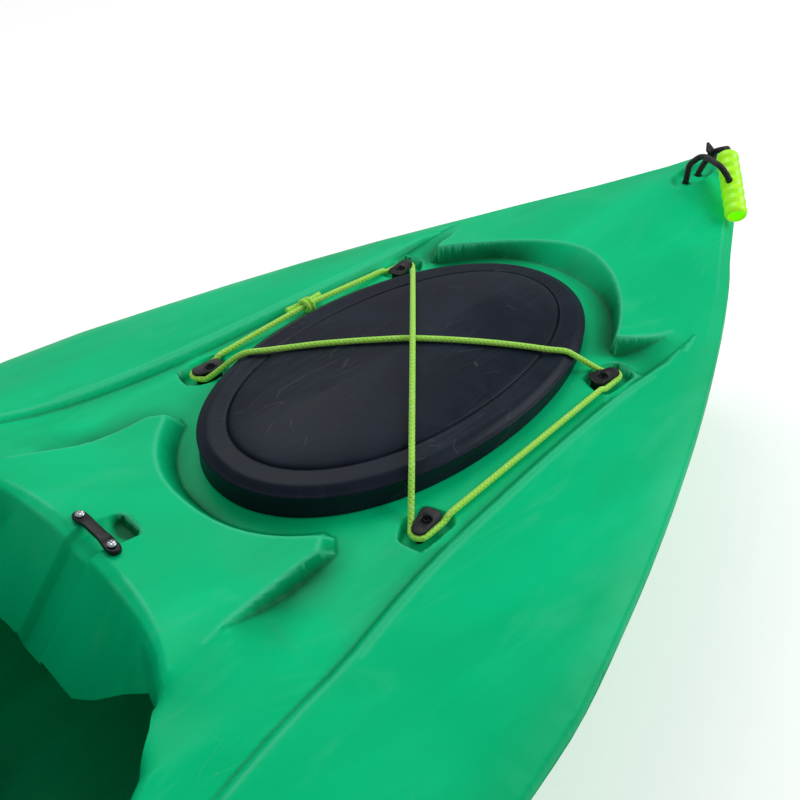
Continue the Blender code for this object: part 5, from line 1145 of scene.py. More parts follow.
        piece = linked("deck_skin", mesh)
        Bench.modify(piece, "SOLIDIFY", thickness=self.wall, offset=-1.0)
        Bench.smooth(piece, 80.0)
        settle(piece, Slot.SKIN, "boat", ["deck_shell"])


@dataclass
class HatchCover:
    """Dished blow-moulded lid with a groove round its panel, a rounded shoulder and a skirt."""

    half_length: float = 0.235
    half_width: float = 0.137
    power: float = 2.078
    egg: float = 0.0335
    sides: int = 192
    wall: float = 0.0028
    plate: float = 0.0035
    border: float = 0.0285
    groove: float = 0.0030
    groove_deep: float = 0.0020
    top: tuple = ((0.0, 0.0), (0.0089, 0.0059), (0.0285, 0.0078), (0.036, 0.0100), (0.050, 0.0132),
                  (0.070, 0.0163), (0.095, 0.0195), (0.115, 0.0215), (0.137, 0.0230))
    panel: tuple = (0.134, 0.128, 0.118, 0.106, 0.094, 0.082, 0.070, 0.060, 0.050, 0.043, 0.038, 0.0345)
    shoulder: tuple = ((0.0118, 0.0064), (0.0098, 0.0060), (0.0082, 0.0053), (0.0060, 0.0039), (0.0038, 0.0024),
                       (0.0022, 0.0014), (0.0013, 0.0011), (0.0006, 0.0008), (0.0001, 0.0001), (0.0, -0.0008),
                       (0.0003, -0.0020), (0.0009, -0.0032))

    def ring(self, inset: float, height: float | Callable[[float], float]) -> list[Point]:
        """Ring of the outline at an inset, at a height over the lip or given by x."""
        a, b = self.half_length - inset, self.half_width - inset
        out = []
        for k in range(self.sides):
            c, s = math.cos(2 * math.pi * k / self.sides), math.sin(2 * math.pi * k / self.sides)
            x = a * math.copysign(abs(c) ** (2 / self.power), c)
            y = b * math.copysign(abs(s) ** (2 / self.power), s) * (1 + self.egg * x / a)
            z = height(HATCH_X + x) if callable(height) else LIP_Z + height
            out.append((HATCH_X + x, y, z))
        return out

    def build(self) -> None:
        """Makes the lid from the panel outward, down the skirt and back on its underside."""
        def over(inset: float) -> float:
            return spline(self.top, inset)

        def skirt(x: float) -> float:
            return hatch_floor(x) + 0.0012

        far, near, deep = self.border + self.groove, self.border, self.groove_deep
        profile = [(inset, over(inset)) for inset in self.panel]
        profile += [(far + 0.0006, over(far + 0.0006)), (far, over(far) - 0.0003),
                    (far - 0.0008, over(near) - deep * 0.8), (far - 0.0015, over(near) - deep),
                    (near + 0.0008, over(near) - deep * 0.8), (near, over(near) - 0.0003),
                    (near - 0.0007, over(near - 0.0007))]
        profile += [(inset, over(inset)) for inset in (0.024, 0.018, 0.0145)]
        profile += self.shoulder
        profile += [(0.0008, lambda x: 0.5 * (skirt(x) + LIP_Z - 0.0032)), (0.0003, skirt), (0.0004, skirt),
                    (self.wall, skirt), (self.wall, -self.plate - 0.0010), (self.wall + 0.0010, -self.plate),
                    (0.020, -self.plate)]
        profile += [(inset, over(inset) - self.plate) for inset in (0.038, 0.070, 0.118, 0.134)]
        rings = [self.ring(inset, height) for inset, height in profile]
        lid = ring_loft("hatch_lid_shell", rings, smooth_angle=38.0)
        settle(lid, Slot.LID, "hatch_cover", ["hatch_lid"])


@dataclass
class DeckCords:
    """The crossed elastic cord and the knot that ties its ends."""

    radius: float = 0.003
    knot_radius: float = 0.0027
    bow_turn: tuple = (
        (-0.7562, 0.1642, 0.2820), (-0.7527, 0.1643, 0.2808), (-0.7492, 0.1645, 0.2786),
        (-0.7457, 0.1646, 0.2772), (-0.7237, 0.1653, 0.2765), (-0.7219, 0.1652, 0.2765),
        (-0.7201, 0.1646, 0.2764), (-0.7186, 0.1636, 0.2764), (-0.7173, 0.1623, 0.2764),
        (-0.7164, 0.1607, 0.2763), (-0.7159, 0.1589, 0.2763), (-0.7158, 0.1571, 0.2763),
        (-0.7162, 0.1552, 0.2763), (-0.7169, 0.1536, 0.2764), (-0.7181, 0.1521, 0.2764),
        (-0.7245, 0.1459, 0.2766), (-0.7476, 0.1235, 0.3036), (-0.7559, 0.1154, 0.3095),
        (-0.7696, 0.1020, 0.3121))
    stern_turn: tuple = (
        (-0.9717, 0.0947, 0.3122), (-0.9855, 0.1081, 0.3095), (-0.9930, 0.1155, 0.3036),
        (-1.0138, 0.1357, 0.2847), (-1.0202, 0.1419, 0.2848), (-1.0213, 0.1433, 0.2849),
        (-1.0221, 0.1449, 0.2849), (-1.0225, 0.1467, 0.2849), (-1.0225, 0.1485, 0.2849),
        (-1.0220, 0.1502, 0.2849), (-1.0212, 0.1518, 0.2849), (-1.0200, 0.1532, 0.2848),
        (-1.0185, 0.1542, 0.2848), (-1.0169, 0.1549, 0.2848), (-1.0151, 0.1551, 0.2847),
        (-0.9931, 0.1559, 0.2841), (-0.9896, 0.1560, 0.2853), (-0.9861, 0.1562, 0.2873),
        (-0.9826, 0.1563, 0.2883))
    crossing: tuple = ((-0.7857, 0.0863), (-0.8064, 0.0662), (-0.8293, 0.0439), (-0.8523, 0.0215),
                       (-0.8707, 0.0036), (-0.8890, -0.0142), (-0.9120, -0.0366), (-0.9349, -0.0589),
                       (-0.9556, -0.0791))
    upper: tuple = (0.3164, 0.3227, 0.3280, 0.3318, 0.3336, 0.3323, 0.3286, 0.3232, 0.3169)
    lower: tuple = (0.3155, 0.3196, 0.3228, 0.3251, 0.3264, 0.3256, 0.3234, 0.3201, 0.3161)
    knotted: tuple = ((-0.8835, -0.1601, 0.2911), (-0.8625, -0.1601, 0.2911))
    coil: tuple = ((-0.1651, 0.2875), (-0.1620, 0.2852), (-0.1582, 0.2852), (-0.1551, 0.2875), (-0.1539, 0.2911),
                   (-0.1551, 0.2948), (-0.1582, 0.2970), (-0.1620, 0.2970), (-0.1651, 0.2948), (-0.1663, 0.2911))
    aft_tail: tuple = ((-0.8971, -0.1673, 0.2911), (-0.8926, -0.1671, 0.2911), (-0.8881, -0.1668, 0.2911),
                       (-0.8836, -0.1666, 0.2911), (-0.8791, -0.1663, 0.2911))
    fore_tail: tuple = ((-0.8625, -0.1666, 0.2911), (-0.8580, -0.1668, 0.2911), (-0.8535, -0.1671, 0.2911),
                        (-0.8490, -0.1673, 0.2911))

    def route(self) -> list[Point]:
        """The loop: port bow to starboard stern on top, forward through the knot, and the same mirrored below."""
        over = [(x, y, z) for (x, y), z in zip(self.crossing, self.upper)]
        under = [(x, -y, z) for (x, y), z in zip(self.crossing, self.lower)]
        bow, stern = ([(x, -y, z) for x, y, z in turn] for turn in (self.bow_turn, self.stern_turn))
        return [*self.bow_turn, *over, *stern, *self.knotted, *bow, *under, *self.stern_turn]

    def knot(self) -> list[Point]:
        """Two turns of the coil between two tails."""
        turns = [(round(-0.8784 + 0.0006 * k, 4), *self.coil[k % len(self.coil)])
                 for k in range(2 * len(self.coil))]
        return [*self.aft_tail, *turns, *self.fore_tail]

    def build(self) -> None:
        """Makes both cords."""
        cord = swept("elastic_cord", self.route(), self.radius, closed=True)
        settle(cord, Slot.LIME, None, ["deck_bungee"])
        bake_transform(cord)
        knot = swept("cord_knot", self.knot(), self.knot_radius, pitch=0.0012)
        settle(knot, Slot.LIME, "boat", ["bungee_knot"])


def frame_of(*rows: tuple[float, float, float, float]) -> Matrix:
    """World matrix from its three upper rows."""
    return Matrix((*rows, (0.0, 0.0, 0.0, 1.0)))


def curved(points: Plan, parts: int) -> list[Spot]:
    """Catmull-Rom refinement of an open plan or section line."""
    count = len(points)
    out = []
    for i in range(count - 1):
        a, b, c, d = (points[min(max(i + k, 0), count - 1)] for k in (-1, 0, 1, 2))
        for k in range(parts):
            t = k / parts
            out.append(tuple(0.5 * (2 * b[n] + (c[n] - a[n]) * t + (2 * a[n] - 5 * b[n] + 4 * c[n] - d[n]) * t * t
                                    + (3 * b[n] - a[n] - 3 * c[n] + d[n]) * t**3) for n in (0, 1)))
    return out + [tuple(points[-1])]


def moulded_sheet(name: str, rows: Sequence[Sequence[Point]], wall: float, heart: Point,
                  smooth_angle: float = 45.0) -> Piece:
    """Open net of rows given a wall on the side of its heart.

    Args:
        name: The piece's name.
        rows: Rows of points of equal count.
        wall: Thickness of the wall.
        heart: A point on the inner side, from which the outer faces look away.
        smooth_angle: Degrees above which an edge stays sharp.

    Returns:
        The closed shell.
    """
    count = len(rows[0])
    points = [p for row in rows for p in row]
    faces = [(r * count + k, r * count + k + 1, (r + 1) * count + k + 1, (r + 1) * count + k)
             for r in range(len(rows) - 1) for k in range(count - 1)]
    mesh = bpy.data.meshes.new(name)
    mesh.from_pydata(points, [], faces)
    bm = bmesh.new()
    bm.from_mesh(mesh)
    bmesh.ops.remove_doubles(bm, verts=bm.verts, dist=1e-6)
    bmesh.ops.dissolve_degenerate(bm, edges=bm.edges, dist=1e-7)
    bmesh.ops.recalc_face_normals(bm, faces=bm.faces)
    middle = Vector(heart)
    if sum((f.calc_center_median() - middle).dot(f.normal) * f.calc_area() for f in bm.faces) < 0:
        bmesh.ops.reverse_faces(bm, faces=bm.faces)
    bm.to_mesh(mesh)
    bm.free()
    piece = linked(name, mesh)
    Bench.modify(piece, "SOLIDIFY", thickness=wall, offset=-1.0)
    Bench.smooth(piece, smooth_angle)
    return piece


def refined(node: str, name: str, bevel: float, segments: int = 3, angle: float = 28.0) -> Piece:
    """Copy of a CAD node with its loose triangles merged into faces and its edges rounded.

    Args:
        node: The CAD node.
        name: The new piece's name.
        bevel: Width of the rounding.
        segments: Steps of the rounding.
        angle: Degrees above which an edge is rounded.

    Returns:
        The piece, at the origin.
    """
    mesh = frame["nodes"][node].data.copy()
    mesh.name = name
    piece = linked(name, mesh)
    bm = bmesh.new()
    bm.from_mesh(mesh)
    bmesh.ops.remove_doubles(bm, verts=bm.verts, dist=2e-6)
    bmesh.ops.dissolve_limit(bm, angle_limit=math.radians(1.2), verts=bm.verts, edges=bm.edges)
    bm.to_mesh(mesh)
    bm.free()
    if bevel:
        Bench.modify(piece, "BEVEL", width=bevel, segments=segments, limit_method="ANGLE",
                     angle_limit=math.radians(angle), use_clamp_overlap=True)
    Bench.smooth(piece, 35.0)
    return piece


@dataclass
class HullSkin:
    """The hull moulding: keel strakes blending into two rounded stems, with its drain hole."""

    beam: float = 0.775
    sheer_table: tuple = ((0.0, 0.315), (0.037, 0.301), (0.071, 0.288), (0.139, 0.270), (0.275, 0.243),
                          (0.400, 0.235), (0.600, 0.237), (0.760, 0.254), (0.880, 0.283), (0.960, 0.312),
                          (1.0, 0.330))
    breadth_table: tuple = ((0.0, 0.072), (0.037, 0.192), (0.071, 0.348), (0.110, 0.498), (0.164, 0.674),
                            (0.226, 0.839), (0.275, 0.937), (0.339, 0.990), (0.440, 1.0), (0.560, 0.975),
                            (0.670, 0.885), (0.765, 0.735), (0.850, 0.530), (0.920, 0.315), (0.968, 0.155),
                            (1.0, 0.072))
    middle: tuple = ((0.0, 0.0), (0.24, 0.0), (0.30, 0.030), (0.38, 0.030), (0.44, 0.012), (0.56, 0.050),
                     (0.68, 0.130), (0.82, 0.330), (0.92, 0.620), (1.0, 1.0))
    stem: tuple = ((0.0, 0.0), (0.10, 0.010), (0.17, 0.050), (0.25, 0.110), (0.34, 0.200), (0.45, 0.320),
                   (0.58, 0.470), (0.73, 0.650), (0.88, 0.840), (1.0, 1.0))
    nose: float = 0.035
    stem_run: float = 0.42
    blend_run: float = 0.85
    knuckle: float = 0.012
    flange: float = 0.014
    seam: float = 0.0009
    wall: float = 0.005
    drain_radius: float = 0.0146

    def section(self, x: float) -> list[Spot]:
        """Half section at x from the keel to the rim, as (y, z)."""
        s = min(x - STERN_X, -STERN_X - x)
        share = (x - STERN_X) / LENGTH
        tip = math.sqrt(max(0.0, 1 - (1 - s / self.nose) ** 2)) if s < self.nose else 1.0
        half = self.beam / 2 * spline(self.breadth_table, share) * tip
        sheer = spline(self.sheer_table, share)
        low = 0.0
        if s < self.stem_run:
            top = sheer - self.flange - self.knuckle
            low = top * (1 - math.sqrt(max(0.0, 1 - (1 - s / self.stem_run) ** 2)))
        high = sheer - self.flange - self.seam
        blend = ramp(s, 0.0, self.blend_run)
        knots = [(half * (sy + (my - sy) * blend), low + (high - low) * (sz + (mz - sz) * blend))
                 for (my, mz), (sy, sz) in zip(self.middle, self.stem)]
        return curved(knots, 5)

    def build(self) -> None:
        """Lofts the skin, gives it its wall and bores the drain."""
        ends = [0.0004, 0.0015, 0.0035, 0.006, 0.009, 0.013, 0.018, 0.024, 0.031, 0.040, 0.051, 0.064, 0.079]
        middle = np.linspace(STERN_X + 0.097, -STERN_X - 0.097, 112)
        stations = [STERN_X + e for e in ends] + list(middle) + [-STERN_X - e for e in reversed(ends)]
        rows = []
        for x in stations:
            half = self.section(x)
            rows.append([(x, -y, z) for y, z in reversed(half)] + [(x, y, z) for y, z in half[1:]])
        first, last = rows[0], rows[-1]
        rows = [[(x, 0.0, z) for x, _, z in first]] + rows + [[(x, 0.0, z) for x, _, z in last]]
        hull = moulded_sheet("hull_skin", rows, self.wall, (0.0, 0.0, 0.24), 40.0)
        Bench.cut(hull, Bench.rod(self.drain_radius, 0.06, Drain.place))
        Bench.smooth(hull, 40.0)
        settle(hull, Slot.SKIN, "boat", ["hull_shell"])


@dataclass
class Screws:
    """Pan-head screws with a cross recess, modelled once and copied to each place."""

    radius: float = 0.0042
    shank: float = 0.0021
    high: float = 0.0022

    def pattern(self, length: float) -> bpy.types.Mesh:
        """Mesh of one screw, its underside at the origin and its shank along -Z."""
        r, s, h = self.radius, self.shank, self.high
        profile = ((0.0003, -length), (s, -length + 0.002), (s, 0.0), (r * 0.97, 0.0), (r, 0.0002), (r, h * 0.30),
                   (r * 0.94, h * 0.55), (r * 0.80, h * 0.78), (r * 0.58, h * 0.92), (r * 0.30, h * 0.99),
                   (r * 0.05, h))
        screw = Bench.turned("screw_pattern", profile, 36, UNTURNED)
        for turn in (0.0, 0.5):
            Bench.cut(screw, Bench.block(Matrix.Translation((0, 0, h)) @ Matrix.Rotation(math.pi * turn, 4, "Z")
                                         @ Matrix.Diagonal((r * 1.15, r * 0.24, 0.0030, 1.0))))
        Bench.smooth(screw, 32.0)
        return Bench.mesh_of(screw)

    def build(self) -> None:
        """Copies the screw to the fittings, the bar and the rails."""
        groups: dict[float, list] = {}
        for node in sorted(frame["nodes"]):
            if "_screw" in node:
                low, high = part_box(node)
                rail = node.startswith("rail")
                length = max(high[k] - low[k] for k in range(3)) if not rail else 0.0
                groups.setdefault(round(length, 3), []).append(node)
        for length, nodes in groups.items():
            mesh = self.pattern(max(0.0022, length - self.high) if length else 0.0034)
            for node in nodes:
                piece = Bench.place(mesh, f"{node}_head", self.place(node))
                settle(piece, Slot.DARK_SCREW if node.startswith("pad") else Slot.STEEL, "boat", [node])
            bpy.data.meshes.remove(mesh)

    def place(self, node: str) -> Matrix:
        """World matrix of a screw, from its CAD node's own axis and box."""
        low, high = (Vector(v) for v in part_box(node))
        middle = (low + high) / 2
        turn = Matrix.Rotation(0.7 * len(node) + middle.x * 9, 4, "Z")
        if node.startswith("rail"):
            side = 1 if middle.y > 0 else -1
            inward = Vector((-0.2107, -0.9775 * side, 0.0)).normalized()
            points = [v.co for v in frame["nodes"][node].data.vertices]
            top = max(p.dot(inward) for p in points)
            centre = middle + inward * (top - self.high - middle.dot(inward))
            return Matrix.Translation(centre) @ inward.to_track_quat("Z", "Y").to_matrix().to_4x4() @ turn
        lean = FLOOR_SLOPE if node.startswith("pad") else 0.0
        axis = Vector((lean, 0, 1)).normalized()
        top = max(v.co.dot(axis) for v in frame["nodes"][node].data.vertices)
        centre = middle + axis * (top - self.high - middle.dot(axis))
        return Matrix.Translation(centre) @ Matrix.Rotation(lean, 4, "Y") @ turn


@dataclass
class PadEyes:
    """Four cord fittings: a neck for the cord under a wider cap with a countersunk well for its screw."""

    spots: tuple = ((-0.138, 0.1445, -1, "stern"), (0.1297, 0.1547, 1, "bow"))
    toe_out: float = math.radians(14)
    length: float = 0.034
    width: float = 0.023
    nose_centre: float = 0.0122
    nose: float = 0.0075
    neck_inset: float = 0.0034
    height: float = 0.0162
    cap: float = 0.0018
    corner: float = 0.0070

    def outline(self, inset: float) -> list[Spot]:
        """Taper in plan with a round cord end and a wider, softly cornered tail."""
        tail, half, end = -self.length * 0.42 + inset, self.width / 2 - inset, self.nose - inset
        out = [(self.nose_centre + end * math.cos(a), end * math.sin(a))
               for a in (math.radians(10 * k) for k in range(-9, 10))]
        r = self.corner
        start = Vector(out[-1])
        for corner, after in (((tail, half), (tail, -half)), ((tail, -half), out[0])):
            corner, after = Vector(corner), Vector(after)
            one, two = (start - corner).normalized(), (after - corner).normalized()
            reach = r / math.tan(one.angle(two) / 2)
            first, last = corner + one * reach, corner + two * reach
            middle = corner + (one + two).normalized() * r / math.sin(one.angle(two) / 2)
            a0 = math.atan2(first.y - middle.y, first.x - middle.x)
            sweep = (math.atan2(last.y - middle.y, last.x - middle.x) - a0) % (2 * math.pi)
            out += [(middle.x + r * math.cos(a0 + sweep * k / 8), middle.y + r * math.sin(a0 + sweep * k / 8))
                    for k in range(9)]
            start = corner
        return out

    def pattern(self) -> bpy.types.Mesh:
        """Mesh of one fitting in its own frame."""
        pad = Bench.outline("pad_pattern", self.outline(0.0), self.height - 0.0008)
        Bench.rise(0.0008 - self.cap)
        Bench.step(self.neck_inset, 0.0)
        Bench.rise(self.cap - self.height)
        Bench.choose(pad, lambda face: face.calc_center_median().z > self.height - 0.0009)
        Bench.step(0.0003, 0.0005)
        Bench.step(0.0007, 0.0003)
        Bench.step(0.0012, -0.00015)
        Bench.step(0.0010, -0.00020)
        Bench.close(pad)
        h = self.height
        Bench.cut(pad, Bench.rod(0.0024, 0.06, UNTURNED))
        well = Bench.turned("well", ((0.0045, h - 0.0030), (0.0046, h - 0.0014), (0.0052, h - 0.0006),
                                     (0.0061, h - 0.0001), (0.0064, h + 0.0030)), 48, UNTURNED)
        Bench.cut(pad, well)
        Bench.smooth(pad, 30.0)
        return Bench.mesh_of(pad)

    def build(self) -> None:
        """Copies the fitting to its four pockets."""
        mesh = self.pattern()
        for ahead, out, way, end in self.spots:
            for side, flank in FLANKS:
                x = HATCH_X + ahead
                turn = self.toe_out * way * side + (math.pi if way < 0 else 0.0)
                place = (Matrix.Translation((x, out * side, hatch_floor(x) - 0.012 + 0.0003))
                         @ Matrix.Rotation(math.atan(FLOOR_SLOPE), 4, "Y") @ Matrix.Rotation(turn, 4, "Z"))
                piece = Bench.place(mesh, f"cord_fitting_{end}_{flank}", place)
                settle(piece, Slot.NYLON, "boat", [f"pad_eye_{end}_{flank}"])
        bpy.data.meshes.remove(mesh)


@dataclass
class StrapBar:
    """Black bar across the trough behind the cockpit, with lobed ends round its two screws."""

    place: Point = (-0.5095, 0.0, 0.3136)
    reach: float = 0.0234
    half_length: float = 0.0315
    lobe: float = 0.0060
    waist: float = 0.0050
    thick: float = 0.0050
    slope: float = 0.133
    lean: float = -0.109
    arch: float = 0.0016
    bore: float = 0.0024

    def build(self) -> None:
        """Extrudes the bar's outline, lays it on the deck and bores it."""
        out = [(self.lobe * math.sin(a), self.half_length - self.lobe + self.lobe * math.cos(a))
               for a in (math.radians(-90 + 7.5 * k) for k in range(25))]
        flank = np.linspace(self.half_length - self.lobe - 0.002, -self.half_length + self.lobe + 0.002, 22)
        right = [(self.lobe - (self.lobe - self.waist) * (1 - ramp(abs(y), 0.008, 0.020)), y) for y in flank]
        outline = out + right + [(-x, -y) for x, y in out] + [(-x, -y) for x, y in right]
        bar = Bench.outline("strap_bar", [(float(x), float(y)) for x, y in outline])
        Bench.rise(self.thick)
        bpy.ops.mesh.select_all(action="SELECT")
        bpy.ops.mesh.bisect(plane_co=(0, 0, 0), plane_no=(0, 1, 0), use_fill=False)
        for y in np.linspace(-0.024, 0.024, 17):
            bpy.ops.mesh.select_all(action="SELECT")
            bpy.ops.mesh.bisect(plane_co=(0, float(y), 0), plane_no=(0, 1, 0), use_fill=False)
        Bench.close(bar, bevel=0.0011, segments=3, angle=50.0)
        for vertex in bar.data.vertices:
            x, y, z = vertex.co
            z += self.slope * x + self.lean * (max(abs(y), 0.017) - self.reach)
            z += self.arch * (1 - ramp(abs(y), 0.012, 0.020))
            vertex.co = (x, y, z)
        bar.data.transform(Matrix.Translation(self.place))
        for side in (1, -1):
            spot = Matrix.Translation((self.place[0], side * self.reach, self.place[2]))
            Bench.cut(bar, Bench.rod(self.bore, 0.04, spot))
        Bench.smooth(bar, 32.0)
        settle(bar, Slot.NYLON, "boat", ["strap_bracket"])


@dataclass
class Handle:
    """Carrying handle at one end: a ribbed hollow grip, its cord through the deck's dish, and the keeper."""

    end: str
    grip: Matrix
    keeper: Matrix
    route: tuple
    pivot: Point
    length: float = 0.092
    radius: float = 0.0135
    bore: float = 0.0090
    rib: float = 0.0012
    ribs: int = 7
    cord_radius: float = 0.0038

    def make_grip(self) -> None:
        """Loops rings from the outside round both ends into the bore, and drills the cord's hole."""
        steps = 8 * self.ribs
        end = -0.5 * self.length
        profile = [(end + 0.0012, self.bore + 0.0002), (end + 0.0003, self.bore + 0.0008),
                   (end, self.bore + 0.0016), (end + 0.0002, self.radius - 0.0022)]
        for k in range(1, steps):
            t = k / steps
            wave = 0.5 - 0.5 * math.cos(2 * math.pi * t * self.ribs)
            edge = 0.0008 * (1 - ramp(min(t, 1 - t), 0.0, 0.03))
            profile.append(((t - 0.5) * self.length, self.radius - self.rib * (1 - wave ** 0.7) - edge))
        profile += [(-x, r) for x, r in reversed(profile[:4])]
        profile += [(x, self.bore) for x in np.linspace(0.40, -0.40, 9) * self.length]
        rings = [[(float(x), y, z) for y, z in circle(r, 48)] for x, r in profile]
        grip = ring_loft(f"{self.end}_handle_grip", rings, loop=True, smooth_angle=50.0)
        grip.data.transform(self.grip)
        hole = self.grip @ Matrix.Translation((0, 0, self.radius))
        Bench.cut(grip, Bench.rod(self.cord_radius + 0.0012, self.radius, hole))
        Bench.smooth(grip, 50.0)
        settle(grip, Slot.NEON, f"{self.end}_handle", [f"{self.end}_grip"])

    def make_keeper(self) -> None:
        """The flat toggle on the cord: a rounded plate with two eyelets."""
        half, wide, r = 0.013, 0.010, 0.003
        corners = ((half, -wide * 0.8), (half, wide * 1.2), (-half, wide * 1.2), (-half, -wide * 0.8))
        outline = []
        for n, (x, y) in enumerate(corners):
            cx, cy = x - math.copysign(r, x), y - math.copysign(r, y)
            for k in range(6):
                a = math.radians(-90 + 90 * n + 18 * k)
                outline.append((cx + r * math.cos(a), cy + r * math.sin(a)))
        plate = Bench.outline(f"{self.end}_keeper_plate", outline, -0.0015)
        Bench.rise(0.0030)
        Bench.close(plate, bevel=0.0006, segments=3, angle=40.0)
        Bench.cut(plate, Bench.rod(self.cord_radius + 0.0012, 0.02, UNTURNED))
        Bench.cut(plate, Bench.rod(0.0017, 0.02, Matrix.Translation((0.0, 0.0085, 0.0))))
        plate.data.transform(self.keeper)
        Bench.smooth(plate, 32.0)
        settle(plate, Slot.NYLON, f"{self.end}_handle", [f"{self.end}_cord_keeper"])

    def build(self) -> None:
        """Makes the grip, the keeper and the cord through the deck's dish."""
        self.make_grip()
        self.make_keeper()
        cord = swept(f"{self.end}_carry_cord", self.route, self.cord_radius, sides=16, closed=True)
        settle(cord, Slot.CORD, None, [f"{self.end}_handle_cord"])
        x, y, z = self.pivot
        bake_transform(cord)


def handles() -> list[Handle]:
    """The stern and the bow handle."""
    stern = ((-1.3810, 0.0, 0.3020), (-1.3738, 0.0, 0.3040), (-1.3679, 0.0, 0.3086), (-1.3661, 0.0, 0.3126),
             (-1.3674, -0.0002, 0.3306), (-1.3703, -0.0014, 0.3421), (-1.3731, 0.0003, 0.3471),
             (-1.3783, 0.0047, 0.3529), (-1.3792, 0.0083, 0.3552), (-1.3763, 0.0163, 0.3580),
             (-1.3614, 0.0420, 0.3619), (-1.3598, 0.0475, 0.3606), (-1.3598, 0.0524, 0.3570),
             (-1.3608, 0.0574, 0.3516), (-1.3616, 0.0585, 0.3489), (-1.3642, 0.0590, 0.3453),
             (-1.3691, 0.0584, 0.3420), (-1.3718, 0.0571, 0.3416), (-1.3814, 0.0490, 0.3462),
             (-1.4028, 0.0285, 0.3608), (-1.4066, 0.0268, 0.3625), (-1.4086, 0.0246, 0.3620),
             (-1.4130, 0.0099, 0.3529), (-1.4129, 0.0044, 0.3478), (-1.4109, 0.0024, 0.3444),
             (-1.4016, 0.0011, 0.3347), (-1.3952, 0.0, 0.3247), (-1.3952, -0.0001, 0.3187),
             (-1.3956, 0.0, 0.3113), (-1.3930, 0.0, 0.3077), (-1.3854, 0.0, 0.3029))
    bow = ((1.3810, 0.0, 0.3153), (1.3738, 0.0, 0.3173), (1.3680, 0.0, 0.3219), (1.3661, 0.0, 0.3260),
           (1.3673, -0.0002, 0.3439), (1.3702, -0.0014, 0.3554), (1.3731, 0.0001, 0.3604),
           (1.3776, 0.0034, 0.3653), (1.3790, 0.0083, 0.3685), (1.3706, 0.0398, 0.3792),
           (1.3659, 0.0523, 0.3809), (1.3646, 0.0547, 0.3797), (1.3634, 0.0559, 0.3774),
           (1.3610, 0.0559, 0.3687), (1.3605, 0.0563, 0.3658), (1.3608, 0.0575, 0.3631),
           (1.3632, 0.0589, 0.3596), (1.3679, 0.0587, 0.3559), (1.3706, 0.0578, 0.3550),
           (1.3743, 0.0554, 0.3555), (1.3976, 0.0328, 0.3711), (1.4041, 0.0279, 0.3748),
           (1.4066, 0.0267, 0.3758), (1.4086, 0.0246, 0.3753), (1.4131, 0.0099, 0.3661),
           (1.4129, 0.0044, 0.3611), (1.4109, 0.0024, 0.3576), (1.4016, 0.0011, 0.3480),
           (1.3952, 0.0, 0.3380), (1.3954, -0.0001, 0.3306), (1.3956, 0.0, 0.3246), (1.3930, 0.0, 0.3210),
           (1.3854, 0.0, 0.3162))
    return [
        Handle("stern", frame_of((0.6398, -0.4217, 0.6426, -1.3699), (0.6296, 0.7671, -0.1235, 0.0601),
                                 (-0.4408, 0.4835, 0.7562, 0.3385)),
               frame_of((-0.8649, 0.3553, -0.3547, -1.413), (-0.502, -0.612, 0.6111, 0.0045),
                        (0.0, 0.7065, 0.7077, 0.348)), stern, (-1.381, 0.0, 0.334)),
        Handle("bow", frame_of((-0.6398, -0.4217, -0.6426, 1.3699), (0.6296, -0.7671, -0.1235, 0.0601),
                               (-0.4408, -0.4835, 0.7562, 0.3518)),
               frame_of((-0.8649, -0.3553, 0.3547, 1.413), (0.502, -0.612, 0.6111, 0.0045),
                        (0.0, 0.7065, 0.7077, 0.3613)), bow, (1.381, 0.0, 0.3473))]


@dataclass
class Drain:
    """Threaded seat in the flank, its sealing washer and the plug with a finger bar."""

    radius: float = 0.011
    place = frame_of((0.8688, 0.0, -0.4952, -1.305), (-0.4632, -0.3533, -0.8128, -0.0817),
                     (-0.1749, 0.9355, -0.307, 0.1935))

    def ring(self, name: str, profile: Plan) -> Piece:
        """Turned ring through a closed profile of (radius, height)."""
        rings = [[(x, y, z) for x, y in circle(r, 56)] for r, z in profile]
        piece = ring_loft(name, rings, loop=True, smooth_angle=35.0)
        piece.data.transform(self.place)
        return piece

    def build(self) -> None:
        """Makes the seat, the washer and the plug."""
        r = self.radius
        seat = self.ring("drain_flange", ((r + 0.0003, 0.0036), (r + 0.0006, 0.0038), (r + 0.0030, 0.0039),
                                          (r + 0.0070, 0.0036), (r + 0.0077, 0.0031), (r + 0.0080, 0.0024),
                                          (r + 0.0080, 0.0016), (r + 0.0030, 0.0016), (r + 0.0030, -0.012),
                                          (r + 0.0003, -0.012)))
        settle(seat, Slot.NYLON, "boat", ["drain_seat"])
        washer = self.ring("drain_seal", ((r + 0.0006, 0.0055), (r + 0.0036, 0.0055), (r + 0.0040, 0.0051),
                                          (r + 0.0040, 0.0045), (r + 0.0036, 0.0041), (r + 0.0006, 0.0041)))
        settle(washer, Slot.RUBBER, "drain_cap", ["drain_washer"])
        low = 0.0058
        plug = Bench.turned("drain_cap_plug", ((r - 0.0012, -0.010), (r, -0.0085), (r, low), (r + 0.0056, low),
                                               (r + 0.0060, low + 0.0004), (r + 0.0060, low + 0.0026),
                                               (r + 0.0054, low + 0.0037), (r + 0.0044, low + 0.0040),
                                               (r * 0.86, low + 0.0040), (r * 0.80, low + 0.0033),
                                               (r * 0.3, low + 0.0030)), 56, UNTURNED)
        bar = Bench.block(Matrix.Translation((0, 0, low + 0.0045))
                          @ Matrix.Diagonal((r * 1.5, 0.0035, 0.010, 1.0)))
        Bench.modify(bar, "BEVEL", width=0.0009, segments=3)
        Bench.cut(plug, bar, "UNION")
        plug.data.transform(self.place)
        Bench.smooth(plug, 32.0)
        settle(plug, Slot.NYLON, "drain_cap", ["drain_plug"])


